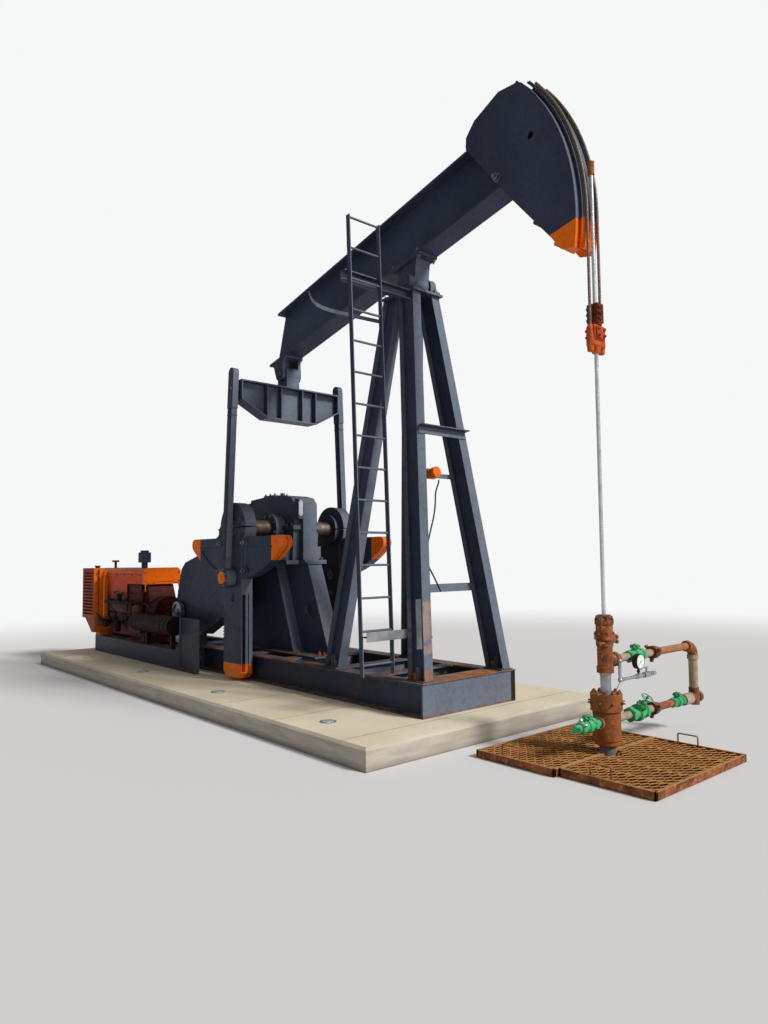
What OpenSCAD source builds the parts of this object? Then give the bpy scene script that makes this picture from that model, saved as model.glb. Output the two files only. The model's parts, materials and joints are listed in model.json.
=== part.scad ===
// Beam pumping unit on a concrete plinth, with its wellhead.
// Millimetres, +Z up. The origin is on the ground under the saddle pivot.
// +X points at the well, -Y is the near side.
// The unit stands at the top of its stroke: head up, cranks hanging down.

/* [Plinth] */
// Front edge of the plinth, ahead of the saddle pivot
plinth_front = 1080; // [900:10:1400]
// Rear edge of the plinth, behind the saddle pivot
plinth_rear = 7000; // [6850:10:7800]
// Near edge of the plinth, from the middle plane
plinth_near = 1640; // [1400:10:2000]
// Far edge of the plinth, from the middle plane
plinth_far = 1480; // [1000:10:2000]
// Height of the plinth above the ground
plinth_h = 180; // [120:5:260]
// Chamfer along the top edges of the plinth
plinth_chamfer = 25; // [10:1:50]
// Diameter of the lamps let into the plinth
lamp_d = 150; // [80:1:220]
// Distance between the lamps
lamp_pitch = 2000; // [1600:10:2300]

/* [Skid] */
// Front end of the main skid, ahead of the saddle pivot
skid_front = 660; // [640:5:800]
// Rear end of the main skid, behind the saddle pivot
skid_rear = 3600; // [3560:10:3800]
// Outer width of the main skid
skid_w = 1288; // [1240:2:1296]
// Height of the runners
runner_h = 300; // [240:5:340]
// Flange width of the runners
runner_flange = 180; // [160:2:220]
// Flange thickness of the runners
runner_t = 18; // [10:1:26]
// Web thickness of the runners
runner_web = 12; // [8:1:20]

/* [Post] */
// Height of the saddle pivot above the ground
pivot_z = 4460; // [4300:10:4700]
// Front feet, ahead of the pivot
foot_front = 540; // [480:5:560]
// Rear feet, behind the pivot
foot_rear = 740; // [600:5:900]
// Distance between the near and far feet
foot_span = 1080; // [1040:5:1110]
// Distance between the near and far legs at the top
head_span = 266; // [240:2:340]
// Depth of the leg section
leg_depth = 220; // [180:5:240]
// Flange width of the leg section
leg_flange = 110; // [90:2:130]
// Flange thickness of the legs
leg_t = 14; // [8:1:18]
// Web thickness of the legs
leg_web = 10; // [6:1:16]
// Thickness of the top plate
top_plate_t = 25; // [15:1:40]
// Height of the saddle pivot above the top plate
bearing_h = 100; // [90:1:130]
// Diameter of the saddle shaft
saddle_d = 110; // [80:1:120]

/* [Walking beam] */
// Tilt of the beam at the top of the stroke, degrees
beam_tilt = 12.3; // [10:0.1:15]
// Depth of the beam section
beam_depth = 600; // [500:10:640]
// Flange width of the beam section
beam_flange = 260; // [220:2:300]
// Flange thickness of the beam
beam_t = 24; // [16:1:32]
// Web thickness of the beam
beam_web = 14; // [10:1:24]
// Height of the beam's underside above the pivot, square to the beam
beam_rise = 245; // [230:1:280]
// Front end of the beam, along the beam from the pivot
beam_front = 1380; // [1300:10:1450]
// Length of the tail, along the beam to the lower corner
beam_tail = 2680; // [2640:10:2800]
// Slant of the tail's end cut
tail_slant = 340; // [200:10:360]

/* [Horsehead] */
// Radius of the wirelines about the pivot
head_r = 2110; // [2060:5:2160]
// Angle of the face's upper end above the beam line, degrees
face_top_a = 30.2; // [28:0.1:33]
// Angle of the face's lower end below the beam line, degrees
face_low_a = 21.7; // [18:0.1:23]
// Thickness of the side plates
cheek_t = 14; // [8:1:20]
// How far the side plates stand back from the wirelines
cheek_back = 66; // [50:1:80]
// Thickness of the curved face plate
face_t = 16; // [8:1:24]
// Height of the two tracks that the wirelines lie on
track_t = 12; // [10:1:20]
// Diameter of the wirelines
line_d = 25; // [16:1:32]
// Distance between the two wirelines
line_span = 150; // [120:2:180]

/* [Drive] */
// Distance from the pivot to the tail bearing, along the beam
tail_arm = 2467; // [2440:1:2490]
// Drop of the tail bearing pin below the beam's underside
tail_drop = 198; // [180:1:220]
// Diameter of the tail bearing pin
tail_pin_d = 90; // [70:1:100]
// Height of the crank shaft above the ground
crank_z = 2000; // [1980:5:2050]
// Throw of the cranks at the wrist pins
crank_r = 600; // [560:5:620]
// Length of the crank arms from the shaft to the tip
crank_tip = 1780; // [1700:5:1800]
// Width of the crank arms
crank_w = 420; // [360:5:460]
// Thickness of the crank arms
crank_t = 150; // [120:2:154]
// Gap between the skid's side and the cranks
crank_gap = 11; // [8:1:14]
// Radius of the crank hub
hub_r = 300; // [260:5:320]
// Diameter of the crank shaft
shaft_d = 190; // [140:2:220]
// Half width of the counterweights, from the shaft to the tips
weight_reach = 1080; // [980:10:1120]
// Height of the counterweights at the crank
weight_h = 510; // [440:10:540]
// Drop of the counterweights' flat top below the shaft
weight_drop = 120; // [100:5:150]
// Length of the equalizer over its ends
equalizer_len = 1480; // [1440:10:1490]
// Depth of the equalizer in the middle
equalizer_depth = 440; // [380:10:460]
// Width of the pitman section across the machine
pitman_t = 76; // [60:2:80]
// Depth of the pitman section along the machine
pitman_w = 100; // [80:2:120]

/* [Gear reducer] */
// Front face of the case, ahead of the crank shaft
case_front = 380; // [340:5:420]
// Rear face of the case, behind the crank shaft
case_rear = 800; // [760:10:860]
// Half width of the gear case
case_half = 170; // [150:5:190]
// Half width over the bearing housings
housing_half = 300; // [280:5:330]
// Height of the mounting flange above the ground
case_z = 1570; // [1540:5:1590]
// Height of the case's top above the ground
case_top = 2420; // [2380:5:2460]

/* [Engine] */
// Height of the engine skid
engine_skid_h = 250; // [200:5:300]
// Near edge of the engine skid, from the middle plane
engine_skid_near = 920; // [900:5:950]
// Far edge of the engine skid, from the middle plane
engine_skid_far = 300; // [200:10:500]
// Rear end of the engine skid, behind the pivot
engine_skid_rear = 6640; // [6600:10:6700]
// Middle plane of the engine, towards the near side
engine_y = 620; // [600:5:640]
// Width of the engine hood
hood_w = 560; // [500:5:600]
// Front end of the hood, behind the pivot
hood_front = 4800; // [4780:5:4860]
// Rear end of the hood, behind the pivot
hood_rear = 6380; // [6300:10:6420]
// Top of the hood above the ground
hood_z = 1500; // [1450:5:1550]
// Width of the radiator
radiator_w = 820; // [760:5:860]

/* [Ladder] */
// Distance between the rungs
rung_pitch = 300; // [280:5:320]
// Number of rungs
rungs = 15; // [12:1:15]
// Width of the ladder over its stiles
ladder_w = 380; // [340:5:420]
// Gap between the skid's side and the ladder
ladder_gap = 2; // [1:1:30]

/* [Wellhead] */
// Diameter of the polished rod
rod_d = 32; // [25:1:38]
// Height of the stuffing box's top above the ground
stuffing_z = 1140; // [1100:5:1180]
// Height of the pumping tee's side outlet above the ground
tee_z = 775; // [740:5:790]
// Height of the casing head's side outlets above the ground
casing_outlet_z = 300; // [280:5:330]
// Distance from the well to the vertical part of the flow loop
loop_y = 1460; // [1400:10:1520]
// Outer diameter of the flow pipe
pipe_d = 76; // [60:1:89]
// Thickness of the cellar covers
cover_t = 60; // [40:1:70]

/* [Hidden] */
$fn = 64;

steel = "#2b3547";
steel_light = "#3a465a";
orange = "#f07818";
rust = "#7a4a30";
concrete = "#cdc4b2";
green = "#3fae6b";
grey = "#9aa0a4";

// Seat gap between pieces that bear on each other with curved faces
seat = 0.3;
skid_top = plinth_h + runner_h;
runner_y = skid_w / 2 - runner_flange / 2;
foot_plate_t = 20;
foot_plate_l = 236;
top_plate_z = pivot_z - bearing_h - top_plate_t;
beam_top = beam_rise + beam_depth;
cheek_r = head_r - cheek_back;
face_r = head_r - line_d / 2 - seat - track_t;

// Tail bearing at rest, in the unit's own frame
tail_v = beam_rise - tail_drop;
tail_x = -tail_arm * cos(beam_tilt) - tail_v * sin(beam_tilt);
tail_z = pivot_z - tail_arm * sin(beam_tilt) + tail_v * cos(beam_tilt);
crank_x = tail_x;
wrist_z = crank_z - crank_r;
crank_y0 = skid_w / 2 + crank_gap;
crank_y1 = crank_y0 + crank_t;
shaft_hole_gap = 0;

// Pitmans lean outwards so that they pass the crank tips with this clearance
pitman_clear = 8;
wrist_y = crank_y1 + 90;
pitman_top_y = equalizer_len / 2 + pitman_t / 2 + 26;

well_x = head_r;

// I section in the XY plane, depth along X, extruded up Z.
module i_section(len, depth, flange, t, web) {
    linear_extrude(len) union() {
        square([depth, web], center = true);
        for (s = [-1, 1])
            translate([s * (depth - t) / 2, 0]) square([t, flange], center = true);
    }
}

// A flat plate in the XZ plane, centred on y, from a 2D outline in (x, z).
module xz_plate(y, t) {
    translate([0, y, 0]) rotate([90, 0, 0]) linear_extrude(t, center = true) children();
}

// A round bar along Y between two y values.
module y_bar(x, z, d, y0, y1) {
    translate([x, y0, z]) rotate([-90, 0, 0]) cylinder(d = d, h = y1 - y0);
}

// A round bar along X between two x values.
module x_bar(y, z, d, x0, x1) {
    translate([x0, y, z]) rotate([0, 90, 0]) cylinder(d = d, h = x1 - x0);
}

// A straight bar of I section between two points, cut level at both ends.
module leaning_leg(a, b) {
    d = b - a;
    h = norm([d[0], d[2]]);
    intersection() {
        translate(a) rotate([0, atan2(d[0], d[2]), 0]) rotate([-atan2(d[1], h), 0, 0])
            translate([0, 0, -200]) i_section(norm(d) + 400, leg_depth, leg_flange, leg_t, leg_web);
        translate([min(a[0], b[0]) - 400, min(a[1], b[1]) - 400, a[2]])
            cube([abs(d[0]) + 800, abs(d[1]) + 800, d[2]]);
    }
}

// Children drawn in the beam's own frame: X along the beam, Z square to it.
module in_beam() {
    translate([0, 0, pivot_z]) rotate([0, -beam_tilt, 0]) children();
}

// Plinth
module plinth() {
    len = plinth_front + plinth_rear;
    c = plinth_chamfer;
    color(concrete) difference() {
        intersection() {
            translate([-plinth_rear, 0, 0]) rotate([90, 0, 90]) linear_extrude(len)
                polygon([[-plinth_near, 0], [plinth_far, 0], [plinth_far, plinth_h - c],
                    [plinth_far - c, plinth_h], [c - plinth_near, plinth_h], [-plinth_near, plinth_h - c]]);
            translate([0, plinth_far, 0]) rotate([90, 0, 0]) linear_extrude(plinth_near + plinth_far)
                polygon([[-plinth_rear, 0], [plinth_front, 0], [plinth_front, plinth_h - c],
                    [plinth_front - c, plinth_h], [c - plinth_rear, plinth_h], [-plinth_rear, plinth_h - c]]);
        }
        for (p = lamp_places()) translate([p[0], p[1], plinth_h - lamp_depth])
            cylinder(d = lamp_d, h = lamp_depth + 1);
    }
}

lamp_depth = 60;
lamp_first_x = 150;
lamp_inset = 340;
function lamp_places() = [for (i = [0:3]) [lamp_first_x - i * lamp_pitch, lamp_inset - plinth_near]];

module plinth_lamps() {
    color(grey) for (p = lamp_places()) translate([p[0], p[1], plinth_h - lamp_depth])
        union() {
            cylinder(d = lamp_d - 2 * seat, h = lamp_depth - 6);
            difference() {
                cylinder(d = lamp_d - 2 * seat, h = lamp_depth + 4);
                cylinder(d = lamp_d - 40, h = lamp_depth + 5);
            }
        }
}

// Skid
module runner(s) {
    color(steel) translate([-skid_rear, s * runner_y, plinth_h + runner_h / 2]) rotate([0, 90, 0])
        i_section(skid_rear + skid_front, runner_h, runner_flange, runner_t, runner_web);
}

module skid_runner_near() { runner(-1); }

module skid_runner_far() { runner(1); }

// Cross members as deep as the runners stand between their flange edges.
cross_flange = 150;
cross_t = 14;
end_plate_t = 12;
cross_xs = [foot_front - 40, -80, -foot_rear, -1720, -2420, -3330];
module skid_cross_members() {
    half = runner_y - runner_flange / 2;
    color(steel) for (x = cross_xs) translate([x, -half, plinth_h + runner_h / 2]) rotate([-90, 0, 0])
        rotate([0, 0, 90]) i_section(2 * half, runner_h, cross_flange, cross_t, cross_t);
    color(steel) for (x = [skid_front, -skid_rear - end_plate_t])
        translate([x, -skid_w / 2, plinth_h]) cube([end_plate_t, skid_w, runner_h]);
}

// Samson post
module leg(front, s) {
    x0 = front ? foot_front : -foot_rear;
    x1 = front ? 20 : -leg_depth + 10;
    a = [x0, s * foot_span / 2, skid_top + foot_plate_t];
    b = [x1, s * head_span / 2, top_plate_z];
    color(steel) union() {
        leaning_leg(a, b);
        translate([x0 - foot_plate_l / 2, s * foot_span / 2 - leg_flange / 2 - 30, skid_top])
            cube([foot_plate_l, leg_flange + 60, foot_plate_t]);
        translate([x0 - 5, s * foot_span / 2 - leg_flange / 2, skid_top + foot_plate_t])
            cube([10, leg_flange, 120]);
    }
}

module post_leg_front_near() { leg(true, -1); }

module post_leg_front_far() { leg(true, 1); }

module post_leg_rear_near() { leg(false, -1); }

module post_leg_rear_far() { leg(false, 1); }

// Leg centre lines by height, for what is fixed between them
function leg_f(z) = (z - skid_top - foot_plate_t) / (top_plate_z - skid_top - foot_plate_t);
function leg_x(front, z) = front ? foot_front + (20 - foot_front) * leg_f(z)
    : -foot_rear + (10 - leg_depth + foot_rear) * leg_f(z);
function leg_y(z) = (foot_span + (head_span - foot_span) * leg_f(z)) / 2;

// Where the front and rear flange faces of a leg lie at a height
lean_front = atan2(20 - foot_front, top_plate_z - skid_top - foot_plate_t);
function leg_face(z) = leg_x(true, z) + leg_depth / 2 / cos(lean_front);
function leg_back(z) = leg_x(true, z) - leg_depth / 2 / cos(lean_front);

outer_brace_z = 2860;
inner_braces = [[1314, 80], [2442, 46]];
brace_w = 80;
brace_t = 10;
module post_braces() {
    half = leg_y(outer_brace_z) + leg_flange / 2 - 10;
    color(steel) translate([leg_face(outer_brace_z) + seat, 0, outer_brace_z]) rotate([0, lean_front, 0]) union() {
        translate([0, -half, -brace_w / 2]) cube([brace_t, 2 * half, brace_w]);
        translate([0, -half, brace_w / 2 - brace_t]) cube([brace_w, 2 * half, brace_t]);
    }
    color(steel) for (q = inner_braces) at_inner_brace(q[0]) union() {
        w = q[1];
        in_half = leg_y(q[0] + w) - leg_web / 2 - 1;
        short = leg_y(q[0] + w) - leg_flange / 2 - 3;
        translate([0, -in_half, -w / 2]) cube([brace_t, 2 * in_half, w]);
        translate([brace_t - w, -short, w / 2 - brace_t]) cube([w, 2 * short, brace_t]);
    }
}

// An inner brace lies on the inside of the front legs' rear flanges.
module at_inner_brace(z) {
    translate([leg_back(z) + leg_t / cos(lean_front) + seat, 0, z]) rotate([0, lean_front, 0]) children();
}

module post_top_plate() {
    color(steel) translate([-330, -210, top_plate_z]) cube([500, 420, top_plate_t]);
}

bearing_y = 150;
bearing_w = 80;
module saddle_bearings() {
    z0 = top_plate_z + top_plate_t;
    color(steel_light) for (s = [-1, 1]) difference() {
        union() {
            translate([-150, s * bearing_y - bearing_w / 2, z0]) cube([300, bearing_w, 28]);
            translate([-92, s * bearing_y - bearing_w / 2, z0]) cube([184, bearing_w, bearing_h]);
            y_bar(0, pivot_z, 184, s * bearing_y - bearing_w / 2, s * bearing_y + bearing_w / 2);
        }
        y_bar(0, pivot_z, saddle_d + 2 * seat, s * bearing_y - bearing_w, s * bearing_y + bearing_w);
        for (x = [-125, 125]) translate([x, s * bearing_y, z0 - 1]) cylinder(d = 22, h = 40, $fn = 24);
    }
}

// Ladder on the near side of the post
ladder_x = 290;
ladder_top_x = 130;
ladder_z0 = skid_top - 40;
ladder_foot = 105;
stile_w = 50;
stile_t = 10;
ladder_h = rung_pitch * (rungs - 1) + 230;
ladder_y = skid_w / 2 + ladder_gap + ladder_w;
ladder_lean = atan2(ladder_top_x - ladder_x, ladder_h);
module ladder() {
    color(steel) translate([ladder_x, -ladder_y, ladder_z0]) rotate([0, ladder_lean, 0]) union() {
        for (y = [0, ladder_w - stile_t]) translate([-stile_w / 2, y, ladder_foot])
            cube([stile_w, stile_t, ladder_h - ladder_foot]);
        for (i = [0:rungs - 1]) translate([0, stile_t / 2, 210 + i * rung_pitch]) rotate([-90, 0, 0])
            cylinder(d = 22, h = ladder_w - stile_t, $fn = 16);
    }
}

function ladder_back(z) = ladder_x + (ladder_top_x - ladder_x) * (z - ladder_z0) / ladder_h - stile_w / 2 - 1;
function ladder_front(z) = ladder_back(z) + stile_w + 2;

// A channel at the top plate and a flat bar at the front leg hold the ladder.
plank_h = 100;
bar_z = 900;
module ladder_platform() {
    x1 = ladder_back(top_plate_z);
    z0 = top_plate_z - plank_h;
    edge = leg_y(z0) + leg_flange / 2 + 3;
    color(steel) union() {
        translate([x1 - 75, -ladder_y - 30, z0]) cube([75, ladder_y + 30 - edge, 10]);
        translate([x1 - 75, -ladder_y - 30, top_plate_z - 10]) cube([75, ladder_y + 30 - edge, 10]);
        translate([x1 - 75, -ladder_y - 30, z0]) cube([10, ladder_y + 30 - edge, plank_h]);
    }
    x2 = ladder_front(bar_z);
    color(steel) translate([x2, -ladder_y - 10, bar_z]) cube([leg_back(bar_z + 10) - x2 - seat, 580, 10]);
}

// Gear reducer on its pedestal
ped_half = 230;
ped_foot_front = 444;
ped_top_front = 63;
ped_t = 20;
// A narrow box in front of it carries the nose of the reducer
nose_half = 100;
nose_foot = 983;
nose_top = 563;
nose_hole_d = 160;
module reducer_pedestal() {
    rear = case_rear + 30;
    z0 = skid_top + ped_t;
    z1 = case_z - ped_t;
    color(steel) difference() {
        union() {
            xz_plate(0, 2 * ped_half) difference() {
                polygon([[crank_x + ped_foot_front, z0], [crank_x + ped_top_front, z1],
                    [crank_x - rear + 90, z1], [crank_x - rear - 180, z0]]);
                polygon([[crank_x + ped_foot_front - ped_t - 5, z0 - 1], [crank_x + ped_top_front - ped_t, z1 + 1],
                    [crank_x - rear + 90 + ped_t, z1 + 1], [crank_x - rear - 180 + ped_t, z0 - 1]]);
            }
            xz_plate(0, 2 * ped_half - 80) polygon([[crank_x + ped_foot_front - 5, z0],
                [crank_x + ped_top_front - 5, z1], [crank_x - rear + 95, z1], [crank_x - rear - 175, z0]]);
            xz_plate(0, 2 * nose_half) polygon([[crank_x - 200, z0], [crank_x + nose_foot, z0],
                [crank_x + nose_top, z1], [crank_x - 200, z1]]);
            translate([crank_x - rear - 220, -housing_half - 30, skid_top])
                cube([rear + nose_foot + 260, 2 * housing_half + 60, ped_t]);
            translate([crank_x - rear - 20, -housing_half, z1])
                cube([rear + case_front + 40, 2 * housing_half, ped_t]);
            translate([crank_x, -nose_half - 20, z1]) cube([nose_top + 20, 2 * nose_half + 40, ped_t]);
        }
        for (s = [-1, 1]) y_bar(crank_x + (nose_foot + nose_top) / 2 - 190, (z0 + z1) / 2 - 25, nose_hole_d,
            s * nose_half - 40, s * nose_half + 40);
    }
}

shaft2_x = -540;
shaft2_z = 1850;
nose_front = 467;
module gear_reducer() {
    flange = 45;
    hh = housing_half;
    color(steel_light) difference() {
        union() {
            translate([crank_x - case_rear - 20, -hh, case_z]) cube([case_rear + case_front + 40, 2 * hh, 30]);
            xz_plate(0, 2 * case_half + 30) polygon([[crank_x - case_rear + 40, case_z + 20],
                [crank_x + case_front - 20, case_z + 20], [crank_x + case_front, crank_z - 20],
                [crank_x + case_front, crank_z + 20], [crank_x - case_rear, crank_z + 20], [crank_x - case_rear, 1800]]);
            translate([crank_x - case_rear - flange, -case_half - flange, crank_z - 25])
                cube([case_rear + case_front + 2 * flange, 2 * case_half + 2 * flange, 50]);
            xz_plate(0, 2 * case_half) polygon([[crank_x + case_front, crank_z], [crank_x + case_front, case_top - 130],
                [crank_x + case_front - 70, case_top - 45], [crank_x + 150, case_top - 10], [crank_x - 150, case_top],
                [crank_x - 230, case_top], [crank_x - 640, case_top - 25], [crank_x - 650, case_top - 60],
                [crank_x - 780, case_top - 70], [crank_x - case_rear, case_top - 160], [crank_x - case_rear, crank_z]]);
            y_bar(crank_x, crank_z, 360, -hh, hh);
            translate([crank_x - 110, -hh, case_z + 20]) cube([220, 2 * hh, crank_z - case_z - 120]);
            translate([crank_x, -nose_half, case_z + 20]) cube([nose_front, 2 * nose_half, case_top - case_z - 130]);
            translate([crank_x, -nose_half - 20, case_z]) cube([nose_front + 60, 2 * nose_half + 40, 30]);
            for (x = [-200, 190]) translate([crank_x + x, -hh + 20, case_z + 20]) cube([16, 2 * hh - 40, 330]);
            for (x = [-case_rear + 120, case_front - 90]) translate([crank_x + x, -hh + 20, case_z + 20])
                cube([16, 2 * hh - 40, 180]);
            y_bar(crank_x + shaft2_x, shaft2_z, 220, -case_half - 60, case_half + 40);
            y_bar(crank_x + shaft2_x, shaft2_z, 90, -guard_y0 + seat, 0);
            translate([crank_x - 420, -110, case_top - 60]) cube([260, 220, 80]);
            translate([crank_x - 140, 0, case_top - 40]) cylinder(d = 60, h = 85, $fn = 32);
        }
        y_bar(crank_x, crank_z, shaft_d + 2 * seat, -hh - 1, hh + 1);
    }
}

// Belt guard: a closed box beside the reducer, standing on the engine skid
guard_y1 = skid_w / 2 - 34;
guard_y0 = guard_y1 - 170;
guard_lip = 12;
module belt_guard() {
    outline = [[-4050, 700], [-4300, 860], [-4330, 1080], [-4204, 1473], [-4086, 1579], [-3669, 1681],
        [-3131, 1923], [-3114, 2009], [-3026, 2109], [-2920, 2145], [-2760, 2110], [-2690, 1990],
        [-2690, 1020], [-2990, 890], [-3582, 620], [-3729, 613]];
    color(steel) union() {
        xz_plate(-guard_y1 + guard_lip / 2, guard_lip) polygon(outline);
        xz_plate(-(guard_y0 + guard_y1) / 2, guard_y1 - guard_y0 - guard_lip) offset(delta = -8) polygon(outline);
        xz_plate(-guard_y0 - guard_lip / 2, guard_lip) polygon(outline);
        translate([-3729, -guard_y1 + 20, plinth_h + engine_skid_h]) cube([12, guard_y1 - guard_y0 - 40, 200]);
        translate([-3729, -guard_y1 + 20, plinth_h + engine_skid_h]) cube([100, guard_y1 - guard_y0 - 40, 12]);
    }
}

// A covered post at the near end of the engine skid
module guard_post() {
    x0 = -skid_rear + 20;
    color(steel) union() {
        translate([x0, -engine_skid_near, plinth_h]) cube([420, 50, 680]);
        translate([x0, -engine_skid_near - 14, plinth_h]) cube([14, 78, 680]);
        translate([x0 + 406, -engine_skid_near - 14, plinth_h]) cube([14, 78, 680]);
        translate([x0, -engine_skid_near - 14, plinth_h + 668]) cube([420, 78, 12]);
    }
}

// Engine skid
module engine_skid() {
    len = engine_skid_rear - skid_rear - end_plate_t - 2;
    w = engine_skid_near + engine_skid_far;
    color(steel) translate([-engine_skid_rear, -engine_skid_near, plinth_h]) union() {
        for (y = [0, w - 16]) translate([0, y, 0]) cube([len, 16, engine_skid_h]);
        for (z = [0, engine_skid_h - 16]) {
            translate([0, 0, z]) cube([len, 90, 16]);
            translate([0, w - 90, z]) cube([len, 90, 16]);
        }
        for (x = [0, 760, 1520, 2280, len - 16]) translate([x, 0, 0]) cube([16, w, engine_skid_h]);
        for (x = [0, len - 200]) translate([x, 0, engine_skid_h - 16]) cube([200, w, 16]);
        for (y = [engine_skid_near - engine_y - 210, engine_skid_near - engine_y + 130])
            translate([0, y, engine_skid_h - 60]) cube([len, 80, 60]);
    }
}

// Engine, its long side along the skid, the radiator at the rear
eng_z0 = plinth_h + engine_skid_h;
module engine_block() {
    y0 = -engine_y - hood_w / 2;
    color(rust) union() {
        for (x = [-hood_rear + 60, -hood_front - 260]) translate([x, -engine_y - 210, eng_z0]) cube([140, 420, 90]);
        xz_plate(-engine_y, hood_w - 170) polygon([[-hood_rear + 20, eng_z0 + 200], [-hood_rear + 180, eng_z0 + 60],
            [-hood_front - 120, eng_z0 + 60], [-hood_front + 60, eng_z0 + 200], [-hood_front + 60, eng_z0 + 600],
            [-hood_front - 60, eng_z0 + 835], [-hood_rear + 20, eng_z0 + 835]]);
        translate([-hood_rear + 40, y0 + 25, eng_z0 + 330]) cube([hood_rear - hood_front - 180, 70, 500]);
        for (i = [0:3]) translate([-hood_rear + 190 + i * 330, y0 + hood_skin + 2, eng_z0 + 400])
            cube([210, 34, 180]);
        x_bar(-engine_y, eng_z0 + 440, 460, -hood_front + 40, -hood_front + 260);
        x_bar(-engine_y, eng_z0 + 440, 200, -hood_front + 200, -hood_front + 330);
        translate([-hood_front - 700, y0 + 15, eng_z0 + 130]) cube([560, 80, 170]);
    }
}

hood_side_z = eng_z0 + 835 + 5;
hood_skin = 14;
module engine_hood() {
    y0 = -engine_y - hood_w / 2;
    len = hood_rear - hood_front;
    color(orange) difference() {
        union() {
            translate([-hood_rear, 0, 0]) rotate([90, 0, 90]) linear_extrude(len)
                polygon([[y0, eng_z0 + 420], [y0 + hood_w, eng_z0 + 420], [y0 + hood_w, hood_z - 40],
                    [y0 + hood_w - 40, hood_z], [y0 + 40, hood_z], [y0, hood_z - 40]]);
            translate([-hood_front, 0, 0]) rotate([90, 0, 90]) linear_extrude(10) difference() {
                polygon([[y0, eng_z0 + 650], [y0 + 40, hood_z - 210], [y0 + hood_w - 40, hood_z - 210],
                    [y0 + hood_w, eng_z0 + 650], [y0 + hood_w, hood_z - 30], [y0 + hood_w - 40, hood_z + 10],
                    [y0 + 40, hood_z + 10], [y0, hood_z - 30]]);
                polygon([[y0 + 180, hood_z - 190], [y0 + hood_w - 100, hood_z - 190], [y0 + hood_w - 60, 0], [y0 + 60, 0]]);
            }
        }
        translate([-hood_rear - 1, y0 + hood_skin, 0]) cube([len + 2, hood_w - 2 * hood_skin, hood_side_z]);
        translate([-hood_rear - 1, y0 + hood_skin, 0])
            cube([len - hood_skin, hood_w - 2 * hood_skin, hood_z - hood_skin - 40]);
        for (y = [y0 - 1, y0 + hood_w - hood_skin - 1]) translate([-hood_front - 620, y, 0])
            cube([700, hood_skin + 2, hood_z - 230]);
    }
}

rad_len = 560;
louvres = 14;
module radiator() {
    x1 = -hood_rear - 2 * seat;
    y0 = -engine_y - radiator_w / 2;
    z0 = 700;
    color(orange) difference() {
        union() {
            translate([x1 - rad_len, y0, z0]) cube([rad_len - 60, radiator_w, hood_z - z0]);
            translate([x1 - 70, y0 + 70, z0 + 20]) cube([70, radiator_w - 140, hood_z - z0 - 40]);
            xz_plate(-engine_y, radiator_w - 60) polygon([[x1 - rad_len + 40, z0], [x1 - 90, z0],
                [x1 - 90, eng_z0 + 50], [x1 - 210, eng_z0 + 50]]);
            xz_plate(-engine_y, radiator_w - 200) polygon([[x1 - 210, eng_z0], [x1 - 40, eng_z0],
                [x1 - 40, eng_z0 + 60], [x1 - 210, eng_z0 + 60]]);
        }
        for (i = [0:louvres - 1]) translate([x1 - rad_len + 30, y0 - 1, z0 + 60 + i * 50])
            cube([rad_len - 120, 26, 28]);
        translate([x1 - rad_len - 1, y0 + 60, z0 + 60]) cube([30, radiator_w - 120, hood_z - z0 - 120]);
    }
}

module air_cleaner() {
    x = -hood_front - 330;
    color(steel) union() {
        translate([x, -engine_y - 130, hood_z + seat]) cylinder(d = 90, h = 100);
        translate([x, -engine_y - 130, hood_z + 85]) cylinder(d = 180, h = 150);
        translate([x, -engine_y - 130, hood_z + 225]) cylinder(d = 120, h = 40);
        translate([-hood_rear + 120, -engine_y - 130, hood_z + seat]) cylinder(d = 40, h = 100, $fn = 24);
        translate([-hood_rear + 120, -engine_y - 130, hood_z + 95]) cylinder(d = 110, h = 30);
    }
    color(steel) union() {
        translate([-hood_rear - 400, -engine_y - 230, hood_z + seat]) cylinder(d = 70, h = 24);
        translate([-hood_rear - 400, -engine_y - 230, hood_z + 20]) cylinder(d = 95, h = 20);
    }
}

tank_y = 955;
tank_d = 250;
module air_tank() {
    z = eng_z0 + 320;
    color(steel) union() {
        x_bar(-tank_y, z, tank_d, -4880, -3640);
        for (x = [-4700, -3900]) translate([x, -engine_skid_near + 10, eng_z0]) cube([50, 60, 250]);
    }
}

disc_x = -4175;
disc_z = 900;
module pulley() {
    color(grey) union() {
        y_bar(disc_x, disc_z, 80, -guard_y1 - 40, -guard_y1 - seat);
        difference() {
            y_bar(disc_x, disc_z, 280, -guard_y1 - 85, -guard_y1 - 25);
            y_bar(disc_x, disc_z, 230, -guard_y1 - 86, -guard_y1 - 62);
        }
        y_bar(disc_x, disc_z, 90, -guard_y1 - 85, -guard_y1 - 60);
    }
}

// A round switch with a square back, on the upper inner brace
module switch_box() {
    color(orange) at_inner_brace(inner_braces[1][0]) translate([brace_t + seat, -45, 8]) union() {
        translate([0, -50, -50]) cube([40, 100, 100]);
        translate([39, 0, 0]) rotate([0, 90, 0]) cylinder(d = 100, h = 30);
        translate([66, 0, 0]) rotate([0, 90, 0]) cylinder(d = 112, h = 46);
    }
}

// Wellhead
module well_bore() {
    translate([well_x, 0, -10]) cylinder(d = rod_d + 20, h = stuffing_z);
}

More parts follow.
